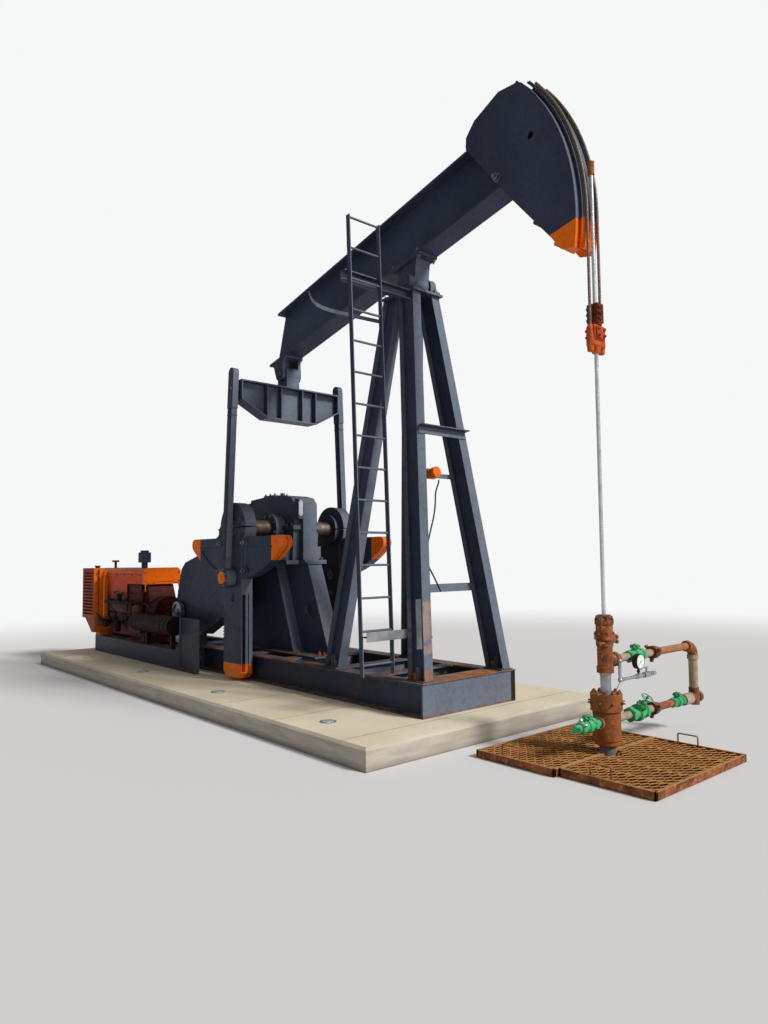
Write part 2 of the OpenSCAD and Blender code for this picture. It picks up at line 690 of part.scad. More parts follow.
casing_d = 125;
head_z = 520;
outlet_y = 118;
module casing_head() {
    color(rust) difference() {
        union() {
            translate([well_x, 0, 0]) cylinder(d = casing_d, h = 130);
            translate([well_x, 0, 125]) cylinder(d = 200, h = 40);
            translate([well_x, 0, 160]) cylinder(d = 218, h = 212);
            translate([well_x, 0, 368]) cylinder(d = 206, h = 24);
            translate([well_x, 0, 388]) cylinder(d = 250, h = head_z - 388);
            y_bar(well_x, casing_outlet_z, 96, -outlet_y, outlet_y);
        }
        well_bore();
    }
}

tee_foot = 683;
module tubing_nipple() {
    color(grey) difference() {
        union() {
            translate([well_x, 0, head_z]) cylinder(d = 84, h = tee_foot - head_z);
            translate([well_x, 0, tee_foot - 22]) cylinder(d = 94, h = 22);
        }
        well_bore();
    }
}

module pumping_tee() {
    color(rust) difference() {
        union() {
            translate([well_x, 0, tee_foot]) cylinder(d = 122, h = 943 - tee_foot);
            translate([well_x, 0, tee_foot]) cylinder(d = 136, h = 50);
            translate([well_x, 0, 893]) cylinder(d = 136, h = 50);
            y_bar(well_x, tee_z, 100, 0, 140);
            y_bar(well_x, tee_z, 116, 108, 150);
        }
        well_bore();
    }
}

module stuffing_box() {
    color(rust) difference() {
        union() {
            translate([well_x, 0, 943]) cylinder(d = 160, h = 42);
            translate([well_x, 0, 980]) cylinder(d = 134, h = 92);
            translate([well_x, 0, 1064]) cylinder(d = 148, h = 36);
            translate([well_x, 0, 1095]) cylinder(d = 106, h = stuffing_z - 1095);
        }
        translate([well_x, 0, 900]) cylinder(d = rod_d + 2 * seat, h = 600);
    }
}

// A gate valve along Y: body, two end hexagons, bonnet and wheel. It is turned so that the bonnet leans.
module valve(y0, y1, z, d, top, wheel, lean = 0) {
    half = (y1 - y0) / 2;
    translate([well_x, (y0 + y1) / 2, z]) rotate([0, lean, 0]) union() {
        y_bar(0, 0, d * 0.72, -half, half);
        for (y = [-half, half - 45]) translate([0, y, 0]) rotate([-90, 30, 0]) cylinder(d = d, h = 45, $fn = 6);
        sphere(d = d * 1.1, $fn = 48);
        cylinder(d = d * 0.62, h = top * 0.55);
        cylinder(d = 20, h = top, $fn = 24);
        translate([0, 0, top - 16]) cylinder(d = wheel, h = 16);
    }
}

module flow_valve() {
    color(green) valve(335, 575, tee_z, 106, 95, 76);
}

// Quarter bend in the YZ plane about a centre, from the +Y side up to the top
module bend(r, d, a0) {
    rotate([0, 90, 0]) rotate([0, 0, a0]) rotate_extrude(angle = 90) translate([r, 0]) circle(d = d);
}

bend_r = 90;
module flow_line() {
    d = pipe_d;
    y1 = loop_y - bend_r;
    color(rust) union() {
        y_bar(well_x, tee_z, d - 12, 150, 335);
        y_bar(well_x, tee_z, d - 12, 575, y1 + 1);
        y_bar(well_x, tee_z, d + 34, 715, 765);
        y_bar(well_x, tee_z, d + 14, 765, 810);
        translate([well_x, y1, tee_z - bend_r]) bend(bend_r, d + 14, 90);
        y_bar(well_x, tee_z, d + 26, y1 - 35, y1 + 1);
        translate([well_x, loop_y, tee_z - bend_r - 36]) cylinder(d = d + 26, h = 37);
        translate([well_x, loop_y, casing_outlet_z + 90]) cylinder(d = d + 4, h = tee_z - bend_r - casing_outlet_z - 90);
    }
}

module casing_valve() {
    color(green) valve(335, 585, casing_outlet_z, 130, 175, 105, 35);
}

module casing_line() {
    d = pipe_d;
    color(rust) union() {
        y_bar(well_x, casing_outlet_z, d - 12, outlet_y, 335);
        y_bar(well_x, casing_outlet_z, d - 12, 585, 1040);
        y_bar(well_x, casing_outlet_z, d + 34, 690, 735);
        y_bar(well_x, casing_outlet_z, d + 14, 735, 780);
        translate([well_x, loop_y, casing_outlet_z - 65]) cylinder(d = d + 16, h = 155);
        y_bar(well_x, casing_outlet_z, d + 4, 1240, loop_y + 75);
        y_bar(well_x, casing_outlet_z, d + 26, loop_y + 40, loop_y + 85);
        y_bar(well_x, casing_outlet_z, d + 26, 1240, loop_y - 60);
    }
}

module blind_valve() {
    color(green) union() {
        valve(-368, -165, casing_outlet_z, 100, 90, 60);
        y_bar(well_x, casing_outlet_z, 60, -170, -outlet_y);
        y_bar(well_x, casing_outlet_z, 62, -440, -368);
    }
}

module small_valve() {
    color(green) valve(1040, 1240, casing_outlet_z, 90, 85, 60);
}

// A small line leaves the tee's outlet, drops and runs beside the flow line. The gauge stands on it.
bleed_x = well_x + 90;
bleed_y = 64;
bleed_z = 625;
gauge_y = 342;
module bleed_line() {
    color(grey) union() {
        x_bar(bleed_y, tee_z, 24, well_x + 50 + seat, bleed_x);
        translate([bleed_x, bleed_y, bleed_z]) cylinder(d = 26, h = tee_z - bleed_z);
        translate([bleed_x, bleed_y, tee_z]) sphere(d = 38, $fn = 32);
        translate([bleed_x, bleed_y, bleed_z]) sphere(d = 38, $fn = 32);
        y_bar(bleed_x, bleed_z, 25, bleed_y, 590);
        y_bar(bleed_x, bleed_z, 40, gauge_y - 32, gauge_y + 32);
        y_bar(bleed_x, bleed_z, 46, gauge_y + 85, gauge_y + 165);
        y_bar(bleed_x, bleed_z, 36, 555, 590);
    }
}

module pressure_gauge() {
    color(grey) translate([bleed_x, gauge_y, bleed_z]) union() {
        translate([0, 0, 20 + seat]) cylinder(d = 20, h = 45, $fn = 24);
        translate([-24, 0, 120]) rotate([0, 90, 0]) cylinder(d = 130, h = 48);
    }
}

module cover(x0, x1, y0, y1) {
    xm = x0 + 0.42 * (x1 - x0);
    color(rust) difference() {
        union() {
            translate([x0, y0, 0]) cube([x1 - x0, y1 - y0, cover_t - 12]);
            for (y = [y0, y1 - 20]) translate([x0, y, 0]) cube([x1 - x0, 20, cover_t]);
            for (x = [x0, x1 - 20]) translate([x, y0, 0]) cube([20, y1 - y0, cover_t]);
            for (y = [y0 + 40, y1 - 52]) translate([xm - 90, y, 0]) union() {
                for (x = [0, 168]) translate([x, 0, 0]) cube([12, 12, cover_t + 85]);
                translate([0, 0, cover_t + 73]) cube([180, 12, 12]);
            }
        }
        translate([well_x, 0, -1]) cylinder(d = casing_d + 2 * seat, h = cover_t + 2);
    }
}

module cellar_cover_rear() { cover(1350, well_x - 0.5, -705, 715); }

module cellar_cover_front() { cover(well_x + 0.5, 2880, -655, 716); }

// Walking beam
module walking_beam() {
    color(steel) in_beam() intersection() {
        translate([-beam_tail, 0, beam_rise + beam_depth / 2]) rotate([0, 90, 0])
            i_section(beam_tail + beam_front, beam_depth, beam_flange, beam_t, beam_web);
        xz_plate(0, beam_flange + 10) polygon([[-beam_tail, beam_rise - 1], [beam_front, beam_rise - 1],
            [beam_front, beam_top + 1], [tail_slant - beam_tail, beam_top + 1]]);
    }
}

// Outline of the horsehead's cheek. An arc about the pivot cuts its face.
cheek_outline = [
    [1050, beam_top], [1080, beam_top + 112], [1210, beam_top + 206], [1530, beam_top + 276],
    [1714, beam_top + 218],
    1.3 * cheek_r * [cos(face_top_a), sin(face_top_a)],
    1.3 * cheek_r * [cos(face_low_a), -sin(face_low_a)],
    [1789, -668], [1730, -532], [1442, 23]];
head_hole = [1747, 489];
face_half = 104;
rib_angles = [26, 14, 2, -10, -19];

// A plate square to the face, between the cheeks, at an angle above the beam line
module head_rib(a) {
    w = beam_flange / 2;
    r0 = 1830;
    rotate([90, 0, 0]) rotate_extrude(angle = 0.3, start = a) polygon([[r0, -w - 1], [cheek_r - 20, -w - 1],
        [cheek_r - 20, -face_half], [face_r - face_t + 2, -face_half], [face_r - face_t + 2, face_half],
        [cheek_r - 20, face_half], [cheek_r - 20, w + 1], [r0, w + 1]]);
}

module horsehead() {
    w = beam_flange;
    color(steel) in_beam() union() {
        for (s = [-1, 1]) intersection() {
            xz_plate(s * (w + cheek_t) / 2, cheek_t) difference() {
                polygon(cheek_outline);
                translate(head_hole) circle(d = 70);
            }
            rotate([90, 0, 0]) cylinder(r = cheek_r, h = 2 * w, center = true, $fn = 360);
        }
        rotate([90, 0, 0]) rotate_extrude(angle = face_top_a + face_low_a - 2, start = 1 - face_low_a, $fn = 360) union() {
            translate([face_r - face_t, -face_half]) square([face_t, 2 * face_half]);
            for (m = [-1, 1]) translate([face_r - 1, m * line_span / 2 - 17]) square([track_t + 1, 34]);
        }
        for (a = rib_angles) head_rib(a);
        for (q = [[1065, beam_top + 40], [1365, beam_top + 225], [1750, -590], [1600, -290]])
            y_bar(q[0], q[1], 40, -w / 2 - 1, w / 2 + 1);
        xz_plate(0, w + 2) polygon([[1530, beam_top + 264], [1714, beam_top + 206], [1712, beam_top + 194],
            [1526, beam_top + 252]]);
    }
}

module head_lines() {
    a1 = face_top_a - 3;
    color("#20242a") in_beam() rotate([90, 0, 0]) for (s = [-1, 1]) translate([0, 0, s * line_span / 2])
        rotate_extrude(angle = a1 + beam_tilt, start = -beam_tilt, $fn = 360)
            translate([head_r, 0]) circle(d = line_d, $fn = 24);
}

module saddle_bracket() {
    color(steel_light) in_beam() union() {
        translate([-230, -beam_flange / 2, beam_rise - 25]) cube([460, beam_flange, 25]);
        xz_plate(0, 200) polygon([[-150, beam_rise - 20], [150, beam_rise - 20], [70, 0], [-70, 0]]);
        y_bar(0, 0, 148, -100, 100);
        y_bar(0, 0, saddle_d, -bearing_y - bearing_w / 2 - 12, bearing_y + bearing_w / 2 + 12);
    }
}

ear_y = 120;
ear_t = 40;
module tail_bracket() {
    color(steel_light) in_beam() difference() {
        union() {
            translate([-tail_arm - 130, -beam_flange / 2 - 10, beam_rise - 25])
                cube([300, beam_flange + 20, 25]);
            for (s = [-1, 1]) xz_plate(s * ear_y, ear_t) polygon([[-tail_arm - 110, beam_rise - 20],
                [-tail_arm + 110, beam_rise - 20], [-tail_arm + 84, tail_v], [-tail_arm - 84, tail_v]]);
            for (s = [-1, 1]) y_bar(-tail_arm, tail_v, 168, s * ear_y - ear_t / 2, s * ear_y + ear_t / 2);
        }
        y_bar(-tail_arm, tail_v, tail_pin_d + 2 * seat, -200, 200);
    }
}

// Equalizer: a deep I beam across the machine, hung from the tail bearing
eq_top = tail_z - 170;
eq_flange = 200;
eq_t = 18;
pitman_pin_z = eq_top - 120;
module equalizer() {
    half = equalizer_len / 2;
    flat = half / 2;
    low = eq_top - 245;
    deep = eq_top - equalizer_depth;
    color(steel) union() {
        translate([tail_x, 0, 0]) rotate([0, 0, 90]) union() {
            xz_plate(0, 14) polygon([[-half, eq_top], [half, eq_top], [half, low],
                [flat, deep], [-flat, deep], [-half, low]]);
            translate([-half, -eq_flange / 2, eq_top - eq_t]) cube([2 * half, eq_flange, eq_t]);
            xz_plate(0, eq_flange) polygon([[-half, low + eq_t], [-flat, deep + eq_t], [flat, deep + eq_t],
                [half, low + eq_t], [half, low], [flat, deep], [-flat, deep], [-half, low]]);
            for (x = [-flat, -160, 160, flat]) translate([x - 6, -eq_flange / 2 + 8, deep + 5])
                cube([12, eq_flange - 16, equalizer_depth - 10]);
            for (x = [-half, half - 16]) translate([x, -eq_flange / 2, low]) cube([16, eq_flange, 245]);
        }
        y_bar(tail_x, tail_z, tail_pin_d, -ear_y - ear_t / 2 - 24, ear_y + ear_t / 2 + 24);
        y_bar(tail_x, tail_z, 210, -ear_y + ear_t / 2 + 5, ear_y - ear_t / 2 - 5);
        translate([tail_x - 105, -ear_y + ear_t / 2 + 5, eq_top - 5])
            cube([210, 2 * ear_y - ear_t - 10, tail_z - eq_top - 40]);
        y_bar(tail_x, pitman_pin_z, 70, half - 10, pitman_top_y + pitman_t / 2 + 14);
        y_bar(tail_x, pitman_pin_z, 70, -pitman_top_y - pitman_t / 2 - 14, 10 - half);
    }
}

// A pitman hangs from its pin on the equalizer and leans out to the wrist pin
module pitman_arm() {
    b = [tail_x, wrist_y, wrist_z];
    a = [tail_x, pitman_top_y, pitman_pin_z];
    lean = atan2(b[1] - a[1], a[2] - b[2]);
    len = norm(a - b);
    color(steel) difference() {
        union() {
            translate(b) rotate([lean, 0, 0]) union() {
                translate([0, 0, 60]) i_section(len - 160, pitman_w, pitman_t, 9, 7);
                translate([-pitman_w / 2, -pitman_t / 2, 60]) cube([pitman_w, pitman_t, 160]);
                translate([-pitman_w / 2 - 9, -pitman_t / 2, 200]) cube([pitman_w + 18, pitman_t, 12]);
                translate([-pitman_w / 2 - 9, -pitman_t / 2, len - 330]) cube([pitman_w + 18, pitman_t, 12]);
                translate([-62, -pitman_t / 2, len - 240]) cube([124, pitman_t, 440]);
                translate([0, 0, len + 200]) rotate([-90, 0, 0])
                    cylinder(d = 124, h = pitman_t, center = true);
            }
            y_bar(tail_x, wrist_z, 240, crank_y1 + 14, wrist_y + 45);
            y_bar(tail_x, wrist_z, 150, wrist_y + 40, wrist_y + 66);
        }
        y_bar(tail_x, pitman_pin_z, 70 + 2 * seat, pitman_top_y - 100, pitman_top_y + 100);
    }
}

module pitman_near() { mirror([0, 1, 0]) pitman_arm(); }

module pitman_far() { pitman_arm(); }

// Cranks
module crank_shaft() {
    color(grey) y_bar(crank_x, crank_z, shaft_d, -crank_y1, crank_y1);
}

// A crank arm in its own plane: the shaft at the origin, the tip at -Y, the outer face at +Z
wrist_hole_d = 130;
spare_r = crank_r + 240;
slot_top = 800;
slot_mouth = 12;
slot_w = 40;
slot_lip = 26;
slot_d = 30;
slot_z = 47;
// A deep channel beside the slot, closed at the tip
channel_w = 48;
channel_z = 94;
channel_d = 60;
tooth_pitch = 36;
teeth = 18;
teeth_r = 790;
tooth_h = 13;
split_w = 16;
boss_d = 380;
boss_t = 46;

module crank_outline() {
    w = crank_w / 2;
    difference() {
        union() {
            circle(r = hub_r);
            polygon([[-w, -crank_tip + 60], [60 - w, -crank_tip], [w - 60, -crank_tip], [w, -crank_tip + 60],
                [w, 0], [-w, 0]]);
        }
        for (i = [0:teeth - 1]) translate([-w, -teeth_r - i * tooth_pitch])
            polygon([[-1, 0], [tooth_h, -tooth_pitch * 0.3], [tooth_h, -tooth_pitch * 0.55], [-1, -tooth_pitch * 0.85]]);
    }
}

module crank_arm() {
    w = crank_w / 2;
    difference() {
        union() {
            linear_extrude(crank_t) crank_outline();
            translate([0, 0, -boss_t]) cylinder(d = boss_d, h = boss_t + 1);
        }
        translate([0, 0, -boss_t - 1]) cylinder(d = shaft_d + 2 * seat, h = crank_t + boss_t + 2);
        translate([0, -crank_r, -1]) cylinder(d = wrist_hole_d, h = crank_t + 2);
        translate([0, -spare_r, -1]) cylinder(d = wrist_hole_d - 30, h = crank_t + 2);
        translate([w - slot_lip, -crank_tip - 1, slot_z])
            cube([slot_lip + 1, crank_tip - slot_top, slot_mouth]);
        translate([w - slot_lip - slot_d, -crank_tip - 1, slot_z + (slot_mouth - slot_w) / 2])
            cube([slot_d, crank_tip - slot_top, slot_w]);
        translate([w - channel_d, -crank_tip + 75, channel_z])
            cube([channel_d + 1, crank_tip - 75 - slot_top, channel_w]);
        translate([shaft_d / 2 - 5, -split_w / 2, -boss_t - 1]) cube([hub_r, split_w, crank_t + boss_t + 2]);
        translate([145, -120, 40]) cube([95, 85, crank_t]);
        translate([145, 35, 40]) cube([95, 85, crank_t]);
    }
}

module place_near() {
    translate([crank_x, -crank_y0, crank_z]) rotate([90, 0, 0]) children();
}

module crank_near() { color(steel) place_near() crank_arm(); }

module crank_far() { color(steel) mirror([0, 1, 0]) place_near() crank_arm(); }

// Wrist pins: each fills its hole in the crank and stops short of the pitman's bearing
module wrist_pins() {
    color(grey) for (s = [-1, 1]) y_bar(crank_x, wrist_z, wrist_hole_d - 2 * seat,
        s > 0 ? crank_y0 : -crank_y1 - 9, s > 0 ? crank_y1 + 9 : -crank_y0);
}

// Counterweights: a half moon, its flat edge up, in two wings beside the crank arm
weight_t = 130;
tip_r = 75;
weight_low = -weight_drop - weight_h;
tip_c = [weight_reach - tip_r, -weight_drop - tip_r];
moon_r = (tip_c[0] * tip_c[0] + pow(weight_low - tip_c[1], 2) - tip_r * tip_r) / (2 * (tip_c[1] - weight_low - tip_r));
moon_c = weight_low + moon_r;
module wing() {
    g = crank_w / 2 + seat;
    ray = tip_c - [0, moon_c];
    far_pt = [0, moon_c] + 1.3 * ray;
    difference() {
        union() {
            intersection() {
                translate([0, moon_c]) circle(r = moon_r, $fn = 180);
                polygon([[g, -weight_drop], [tip_c[0], -weight_drop], tip_c, far_pt, [far_pt[0], 2 * weight_low],
                    [g, 2 * weight_low]]);
            }
            translate(tip_c) circle(r = tip_r);
        }
        circle(r = hub_r + seat, $fn = 96);
    }
}

module half_moon() {
    for (m = [0, 1]) mirror([m, 0, 0]) difference() {
        translate([0, 0, (crank_t - weight_t) / 2]) linear_extrude(weight_t) wing();
        translate([crank_w / 2 + 60, -weight_drop - 110, (crank_t + weight_t) / 2 - 16])
            linear_extrude(20) polygon([[0, 0], [600, 0], [560, -60], [300, -230], [0, -330]]);
        for (q = [[280, -190], [290, -520]]) translate([q[0], q[1], -1]) cylinder(d = 36, h = crank_t + 2, $fn = 24);
    }
}

module counterweights_near() { color(steel) place_near() half_moon(); }

module counterweights_far() { color(steel) mirror([0, 1, 0]) place_near() half_moon(); }

// Carrier and polished rod
carrier_z = 3300;
carrier_h = 200;
clamp_gap = 10;
module carrier_bar() {
    color(orange) difference() {
        union() {
            translate([well_x - 60, -line_span / 2 - 40, carrier_z + 60]) cube([120, line_span + 80, carrier_h - 60]);
            translate([well_x - 45, -line_span / 2 - 20, carrier_z]) cube([90, line_span + 40, 61]);
            for (s = [-1, 1]) translate([well_x, s * line_span / 2, carrier_z - 30]) cylinder(d = 60, h = 40);
        }
        translate([well_x, 0, 0]) cylinder(d = rod_d + 2 * seat, h = 5000);
    }
}

module rod_clamp() {
    color(steel) difference() {
        union() {
            translate([well_x, 0, carrier_z + carrier_h]) cylinder(d = 96, h = 20);
            translate([well_x - 50, -45, carrier_z + carrier_h + 18]) cube([100, 90, 160]);
            for (z = [50, 98, 146]) translate([well_x - 62, 0, carrier_z + carrier_h + z]) rotate([0, 90, 0])
                cylinder(d = 24, h = 124, $fn = 24);
        }
        translate([well_x, 0, 0]) cylinder(d = rod_d + 2 * seat, h = 5000);
    }
}

rod_top = 4900;
module polished_rod() {
    color(grey) union() {
        translate([well_x, 0, stuffing_z - 90]) cylinder(d = rod_d, h = rod_top - stuffing_z + 90);
        translate([well_x, 0, rod_top - 90]) cylinder(d = rod_d + 12, h = 90);
    }
}

module bridle_lines() {
    z0 = carrier_z + carrier_h;
    color("#20242a") for (s = [-1, 1]) translate([well_x, s * line_span / 2, z0])
        cylinder(d = line_d, h = pivot_z - z0 - seat, $fn = 24);
}

plinth();
plinth_lamps();
skid_runner_near();
skid_runner_far();
skid_cross_members();
post_leg_front_near();
post_leg_front_far();
post_leg_rear_near();
post_leg_rear_far();
post_braces();
post_top_plate();
saddle_bearings();
ladder();
ladder_platform();
reducer_pedestal();
gear_reducer();
belt_guard();
guard_post();
engine_skid();
engine_block();
engine_hood();
radiator();
air_cleaner();
air_tank();
pulley();
switch_box();
casing_head();
tubing_nipple();
pumping_tee();
stuffing_box();
flow_line();
flow_valve();
casing_line();
casing_valve();
small_valve();
blind_valve();
bleed_line();
pressure_gauge();
cellar_cover_rear();
cellar_cover_front();
walking_beam();
horsehead();
head_lines();
saddle_bracket();
tail_bracket();
equalizer();
pitman_near();
pitman_far();
crank_shaft();
crank_near();
crank_far();
counterweights_near();
counterweights_far();
wrist_pins();
carrier_bar();
rod_clamp();
polished_rod();
bridle_lines();
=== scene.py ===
# %% [markdown]
# # A beam pumping unit, dressed
# The machine rocks a long beam on a post and lifts a rod out of a well. Its solids come from a
# construction model that is already whole, so nothing here changes a size. What is left to do is
# what the eye looks for: paint, rust, ropes, bolts, welds, valve wheels and light.
# We start by loading the solids.

# %% Load the frame
import json
import bmesh
import bpy
import numpy as np
from mathutils import Matrix, Vector

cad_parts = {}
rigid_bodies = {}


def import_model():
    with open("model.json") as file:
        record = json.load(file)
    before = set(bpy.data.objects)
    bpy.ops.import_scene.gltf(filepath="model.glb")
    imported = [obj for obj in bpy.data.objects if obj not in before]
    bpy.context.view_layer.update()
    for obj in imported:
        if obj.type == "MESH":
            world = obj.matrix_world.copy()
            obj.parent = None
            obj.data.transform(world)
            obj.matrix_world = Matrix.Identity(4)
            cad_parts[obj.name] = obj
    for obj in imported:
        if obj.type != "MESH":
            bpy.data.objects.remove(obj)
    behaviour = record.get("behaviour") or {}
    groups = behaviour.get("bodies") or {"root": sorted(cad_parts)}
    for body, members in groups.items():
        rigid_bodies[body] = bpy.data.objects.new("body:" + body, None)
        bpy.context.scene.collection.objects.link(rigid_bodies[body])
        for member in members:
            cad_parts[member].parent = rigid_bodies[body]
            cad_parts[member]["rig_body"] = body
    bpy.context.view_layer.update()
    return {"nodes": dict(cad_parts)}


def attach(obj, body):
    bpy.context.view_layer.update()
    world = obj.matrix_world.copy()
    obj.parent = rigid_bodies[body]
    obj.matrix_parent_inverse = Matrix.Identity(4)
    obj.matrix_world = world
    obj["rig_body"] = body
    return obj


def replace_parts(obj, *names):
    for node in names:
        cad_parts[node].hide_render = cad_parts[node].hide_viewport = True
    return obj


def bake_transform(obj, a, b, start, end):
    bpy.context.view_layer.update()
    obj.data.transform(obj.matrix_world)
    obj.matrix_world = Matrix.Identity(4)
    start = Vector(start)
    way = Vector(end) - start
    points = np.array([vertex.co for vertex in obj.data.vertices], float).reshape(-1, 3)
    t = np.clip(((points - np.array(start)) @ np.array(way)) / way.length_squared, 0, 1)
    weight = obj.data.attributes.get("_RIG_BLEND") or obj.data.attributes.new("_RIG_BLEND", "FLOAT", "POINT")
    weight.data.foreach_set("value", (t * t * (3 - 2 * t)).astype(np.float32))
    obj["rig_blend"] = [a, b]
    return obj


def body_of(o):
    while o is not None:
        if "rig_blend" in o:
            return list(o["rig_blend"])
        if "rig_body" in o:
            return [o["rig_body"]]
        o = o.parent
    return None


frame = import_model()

# %% [markdown]
# ## Measures that come back often
# The beam is drawn in a frame of its own: u runs along it from the saddle pivot, v stands square to
# it. At the top of the stroke that frame is tilted by 12.3 degrees. Keeping the two directions as
# vectors lets a bolt on the beam be placed by the numbers that a fitter would read off it.

# %% The beam's own frame and the well
TILT = np.radians(12.3)
ALONG = np.array([np.cos(TILT), 0.0, np.sin(TILT)])
SQUARE = np.array([-np.sin(TILT), 0.0, np.cos(TILT)])
FRONT, FAR, UP = np.eye(3)
NEAR = np.array([0.0, -1.0, 0.0])
HINT = (0.12, 0.31, 0.94)  # never parallel to anything that is built here
PIVOT_Z, SHAFT_Z, WRIST_Z = 4.46, 2.0, 1.40
WELL_X, CRANK_X = 2.11, -2.4204


def on_beam(u, y, v):
    """A point u along the beam and v square to it: pivot + u * ALONG + v * SQUARE, moved sideways by y."""
    u, y, v = np.broadcast_arrays(*(np.asarray(part, float)[..., None] for part in (u, y, v)))
    return PIVOT_Z * UP + u * ALONG + v * SQUARE + y * FAR


print("beam tip at", on_beam(1.38, 0, 0.545).round(3))

# %% [markdown]
# ## Lines in space
# Most small parts follow a line: a seam, a cable, a circle of bolts. Four short functions make or
# read such lines, so that later cells only have to say where they go.

# %% Lines and circles
def lengths(points):
    """How far along its broken line each point lies."""
    return np.concatenate([[0], np.cumsum(np.linalg.norm(np.diff(points, axis=0), axis=1))])


def read_at(t, s, points):
    """The broken line through points, read at the places t, where point k lies at s[k]."""
    return np.column_stack([np.interp(t, s, axis) for axis in np.asarray(points, float).T])


def hanging(start, reach, bow, count, power=1.0):
    """start + reach * s + bow * sin(pi s) ** power, with s from 0 to 1 in equal steps."""
    s = np.linspace(0, 1, count)[:, None]
    return start + np.asarray(reach) * s + np.asarray(bow) * np.sin(np.pi * s) ** power


def circle(count, radius, centre, across, over, start=0.0):
    """centre + radius (cos a * across + sin a * over), with a in equal steps."""
    a = start + np.arange(count)[:, None] * 2 * np.pi / count
    return np.asarray(centre, float) + radius * (np.cos(a) * across + np.sin(a) * over)


sagging = hanging(0, FRONT, -0.1 * UP, 50)
print("a line that sags 0.1 m over 1 m is", lengths(sagging)[-1].round(3), "m long")

# %% [markdown]
# ## Surfaces from numbers
# Pipes, bolts, hand wheels, welds and ropes are all a closed line carried along a path. So one
# function turns a table of points, row by row along the path and column by column round it, into a
# closed skin, and the other shapes only have to work out their table. A modifier stack or a
# primitive could make some of them, but a table keeps every radius in plain sight.

# %% A skin over a table of points
def skin(rows, ring=False):
    """Joins point (i, j) to its neighbours (i+1, j) and (i, j+1). Columns close on themselves. The first
    and last row get a middle point and fan to it, or with ring the last row is joined to the first."""
    n, m = rows.shape[:2]
    verts = rows.reshape(-1, 3)
    i = np.arange(n if ring else n - 1)[:, None]
    j = np.arange(m)[None, :]
    a, b = i * m + j, i * m + (j + 1) % m
    c, d = ((i + 1) % n) * m + (j + 1) % m, ((i + 1) % n) * m + j
    quads = np.stack([a, b, c, d], axis=-1).reshape(-1, 4)
    tris = np.zeros((0, 3), int)
    if not ring:
        verts = np.vstack([verts, rows[[0, -1]].mean(axis=1)])
        k = np.arange(m)
        low = np.stack([np.full(m, n * m), (k + 1) % m, k], axis=-1)
        high = np.stack([np.full(m, n * m + 1), (n - 1) * m + k, (n - 1) * m + (k + 1) % m], axis=-1)
        tris = np.vstack([low, high])
    return verts, quads, tris


def joined(parts):
    """Several skins as one: the corner numbers of each are shifted by the points that come before it."""
    starts = np.cumsum([0] + [len(part[0]) for part in parts])
    return (np.vstack([part[0] for part in parts]),
            *(np.vstack([part[k] + s for part, s in zip(parts, starts)]) for k in (1, 2)))


def side_frame(aim, hint=HINT):
    """Two directions square to aim: across = aim x hint made unit length, over = across x aim."""
    across = np.cross(aim, np.asarray(hint, float))
    across = across / np.linalg.norm(across, axis=-1, keepdims=True)
    return across, np.cross(across, aim)


def tube(path, radius, sides=14, hint=HINT, lobes=0, lobe_depth=0.0, lay=1.0, ring=False):
    """p(s, t) = path(s) + r (cos t * across(s) + sin t * over(s)), with
    r = radius * (1 - depth + depth * |cos(lobes/2 * (t - 2 pi s / lay))|) where strands are asked for."""
    path = np.asarray(path, float)
    step = np.roll(path, -1, axis=0) - np.roll(path, 1, axis=0) if ring else np.gradient(path, axis=0)
    across, over = side_frame(step / np.linalg.norm(step, axis=1, keepdims=True), hint)
    t = np.linspace(0, 2 * np.pi, sides, endpoint=False)[None, :]
    r = np.broadcast_to(np.asarray(radius, float).reshape(-1, 1), (len(path), 1)) * np.ones_like(t)
    if lobes:
        twist = 2 * np.pi * lengths(path)[:, None] / lay
        r = r * (1 - lobe_depth + lobe_depth * np.abs(np.cos(lobes / 2 * (t - twist))))
    t = t[..., None]
    rows = path[:, None] + r[..., None] * (np.cos(t) * across[:, None] + np.sin(t) * over[:, None])
    return skin(rows[:, ::-1], ring=ring)


def turned(profile, centre, aim, sides=24, hint=HINT):
    """A lathe shape: profile holds (distance along aim, radius) pairs, and each makes one ring."""
    profile = np.asarray(profile, float)
    aim = np.asarray(aim, float) / np.linalg.norm(aim)
    around = circle(sides, 1.0, (0, 0, 0), *side_frame(aim, hint))
    rows = np.asarray(centre, float) + profile[:, :1, None] * aim + profile[:, 1:, None] * around[None]
    return skin(rows[:, ::-1])


def block(centre, size, chamfer=0.002, turn=None):
    """A box with its edges cut back: eight points on each of four levels, centre + turn * (x, y, z)."""
    hx, hy, hz = np.asarray(size, float) / 2
    c = min(chamfer, 0.45 * min(hx, hy, hz))
    outline = np.array([[hx, -hy + c], [hx, hy - c], [hx - c, hy], [c - hx, hy],
                        [-hx, hy - c], [-hx, c - hy], [c - hx, -hy], [hx - c, -hy]])
    inner = outline * np.array([(hx - c) / hx, (hy - c) / hy])
    levels = [(-hz, inner), (c - hz, outline), (hz - c, outline), (hz, inner)]
    rows = np.array([np.column_stack([o, np.full(8, z)]) for z, o in levels])
    turn = np.eye(3) if turn is None else np.asarray(turn, float)
    return skin(np.asarray(centre, float) + rows @ turn.T)


print("a skin of", skin(np.zeros((4, 8, 3)))[1].shape[0], "quads closes a chamfered block")

# %% [markdown]
# ## Copies, and pieces that ride on a body
# A machine has hundreds of bolts, and they are all one bolt. We work out one, then place copies with
# a single product of arrays: each copy gets a turn matrix whose third column is the way the bolt
# points. A piece joins any number of such skins into one mesh, takes a finish, and is tied to the
# body that carries it, so that it moves when the machine does.

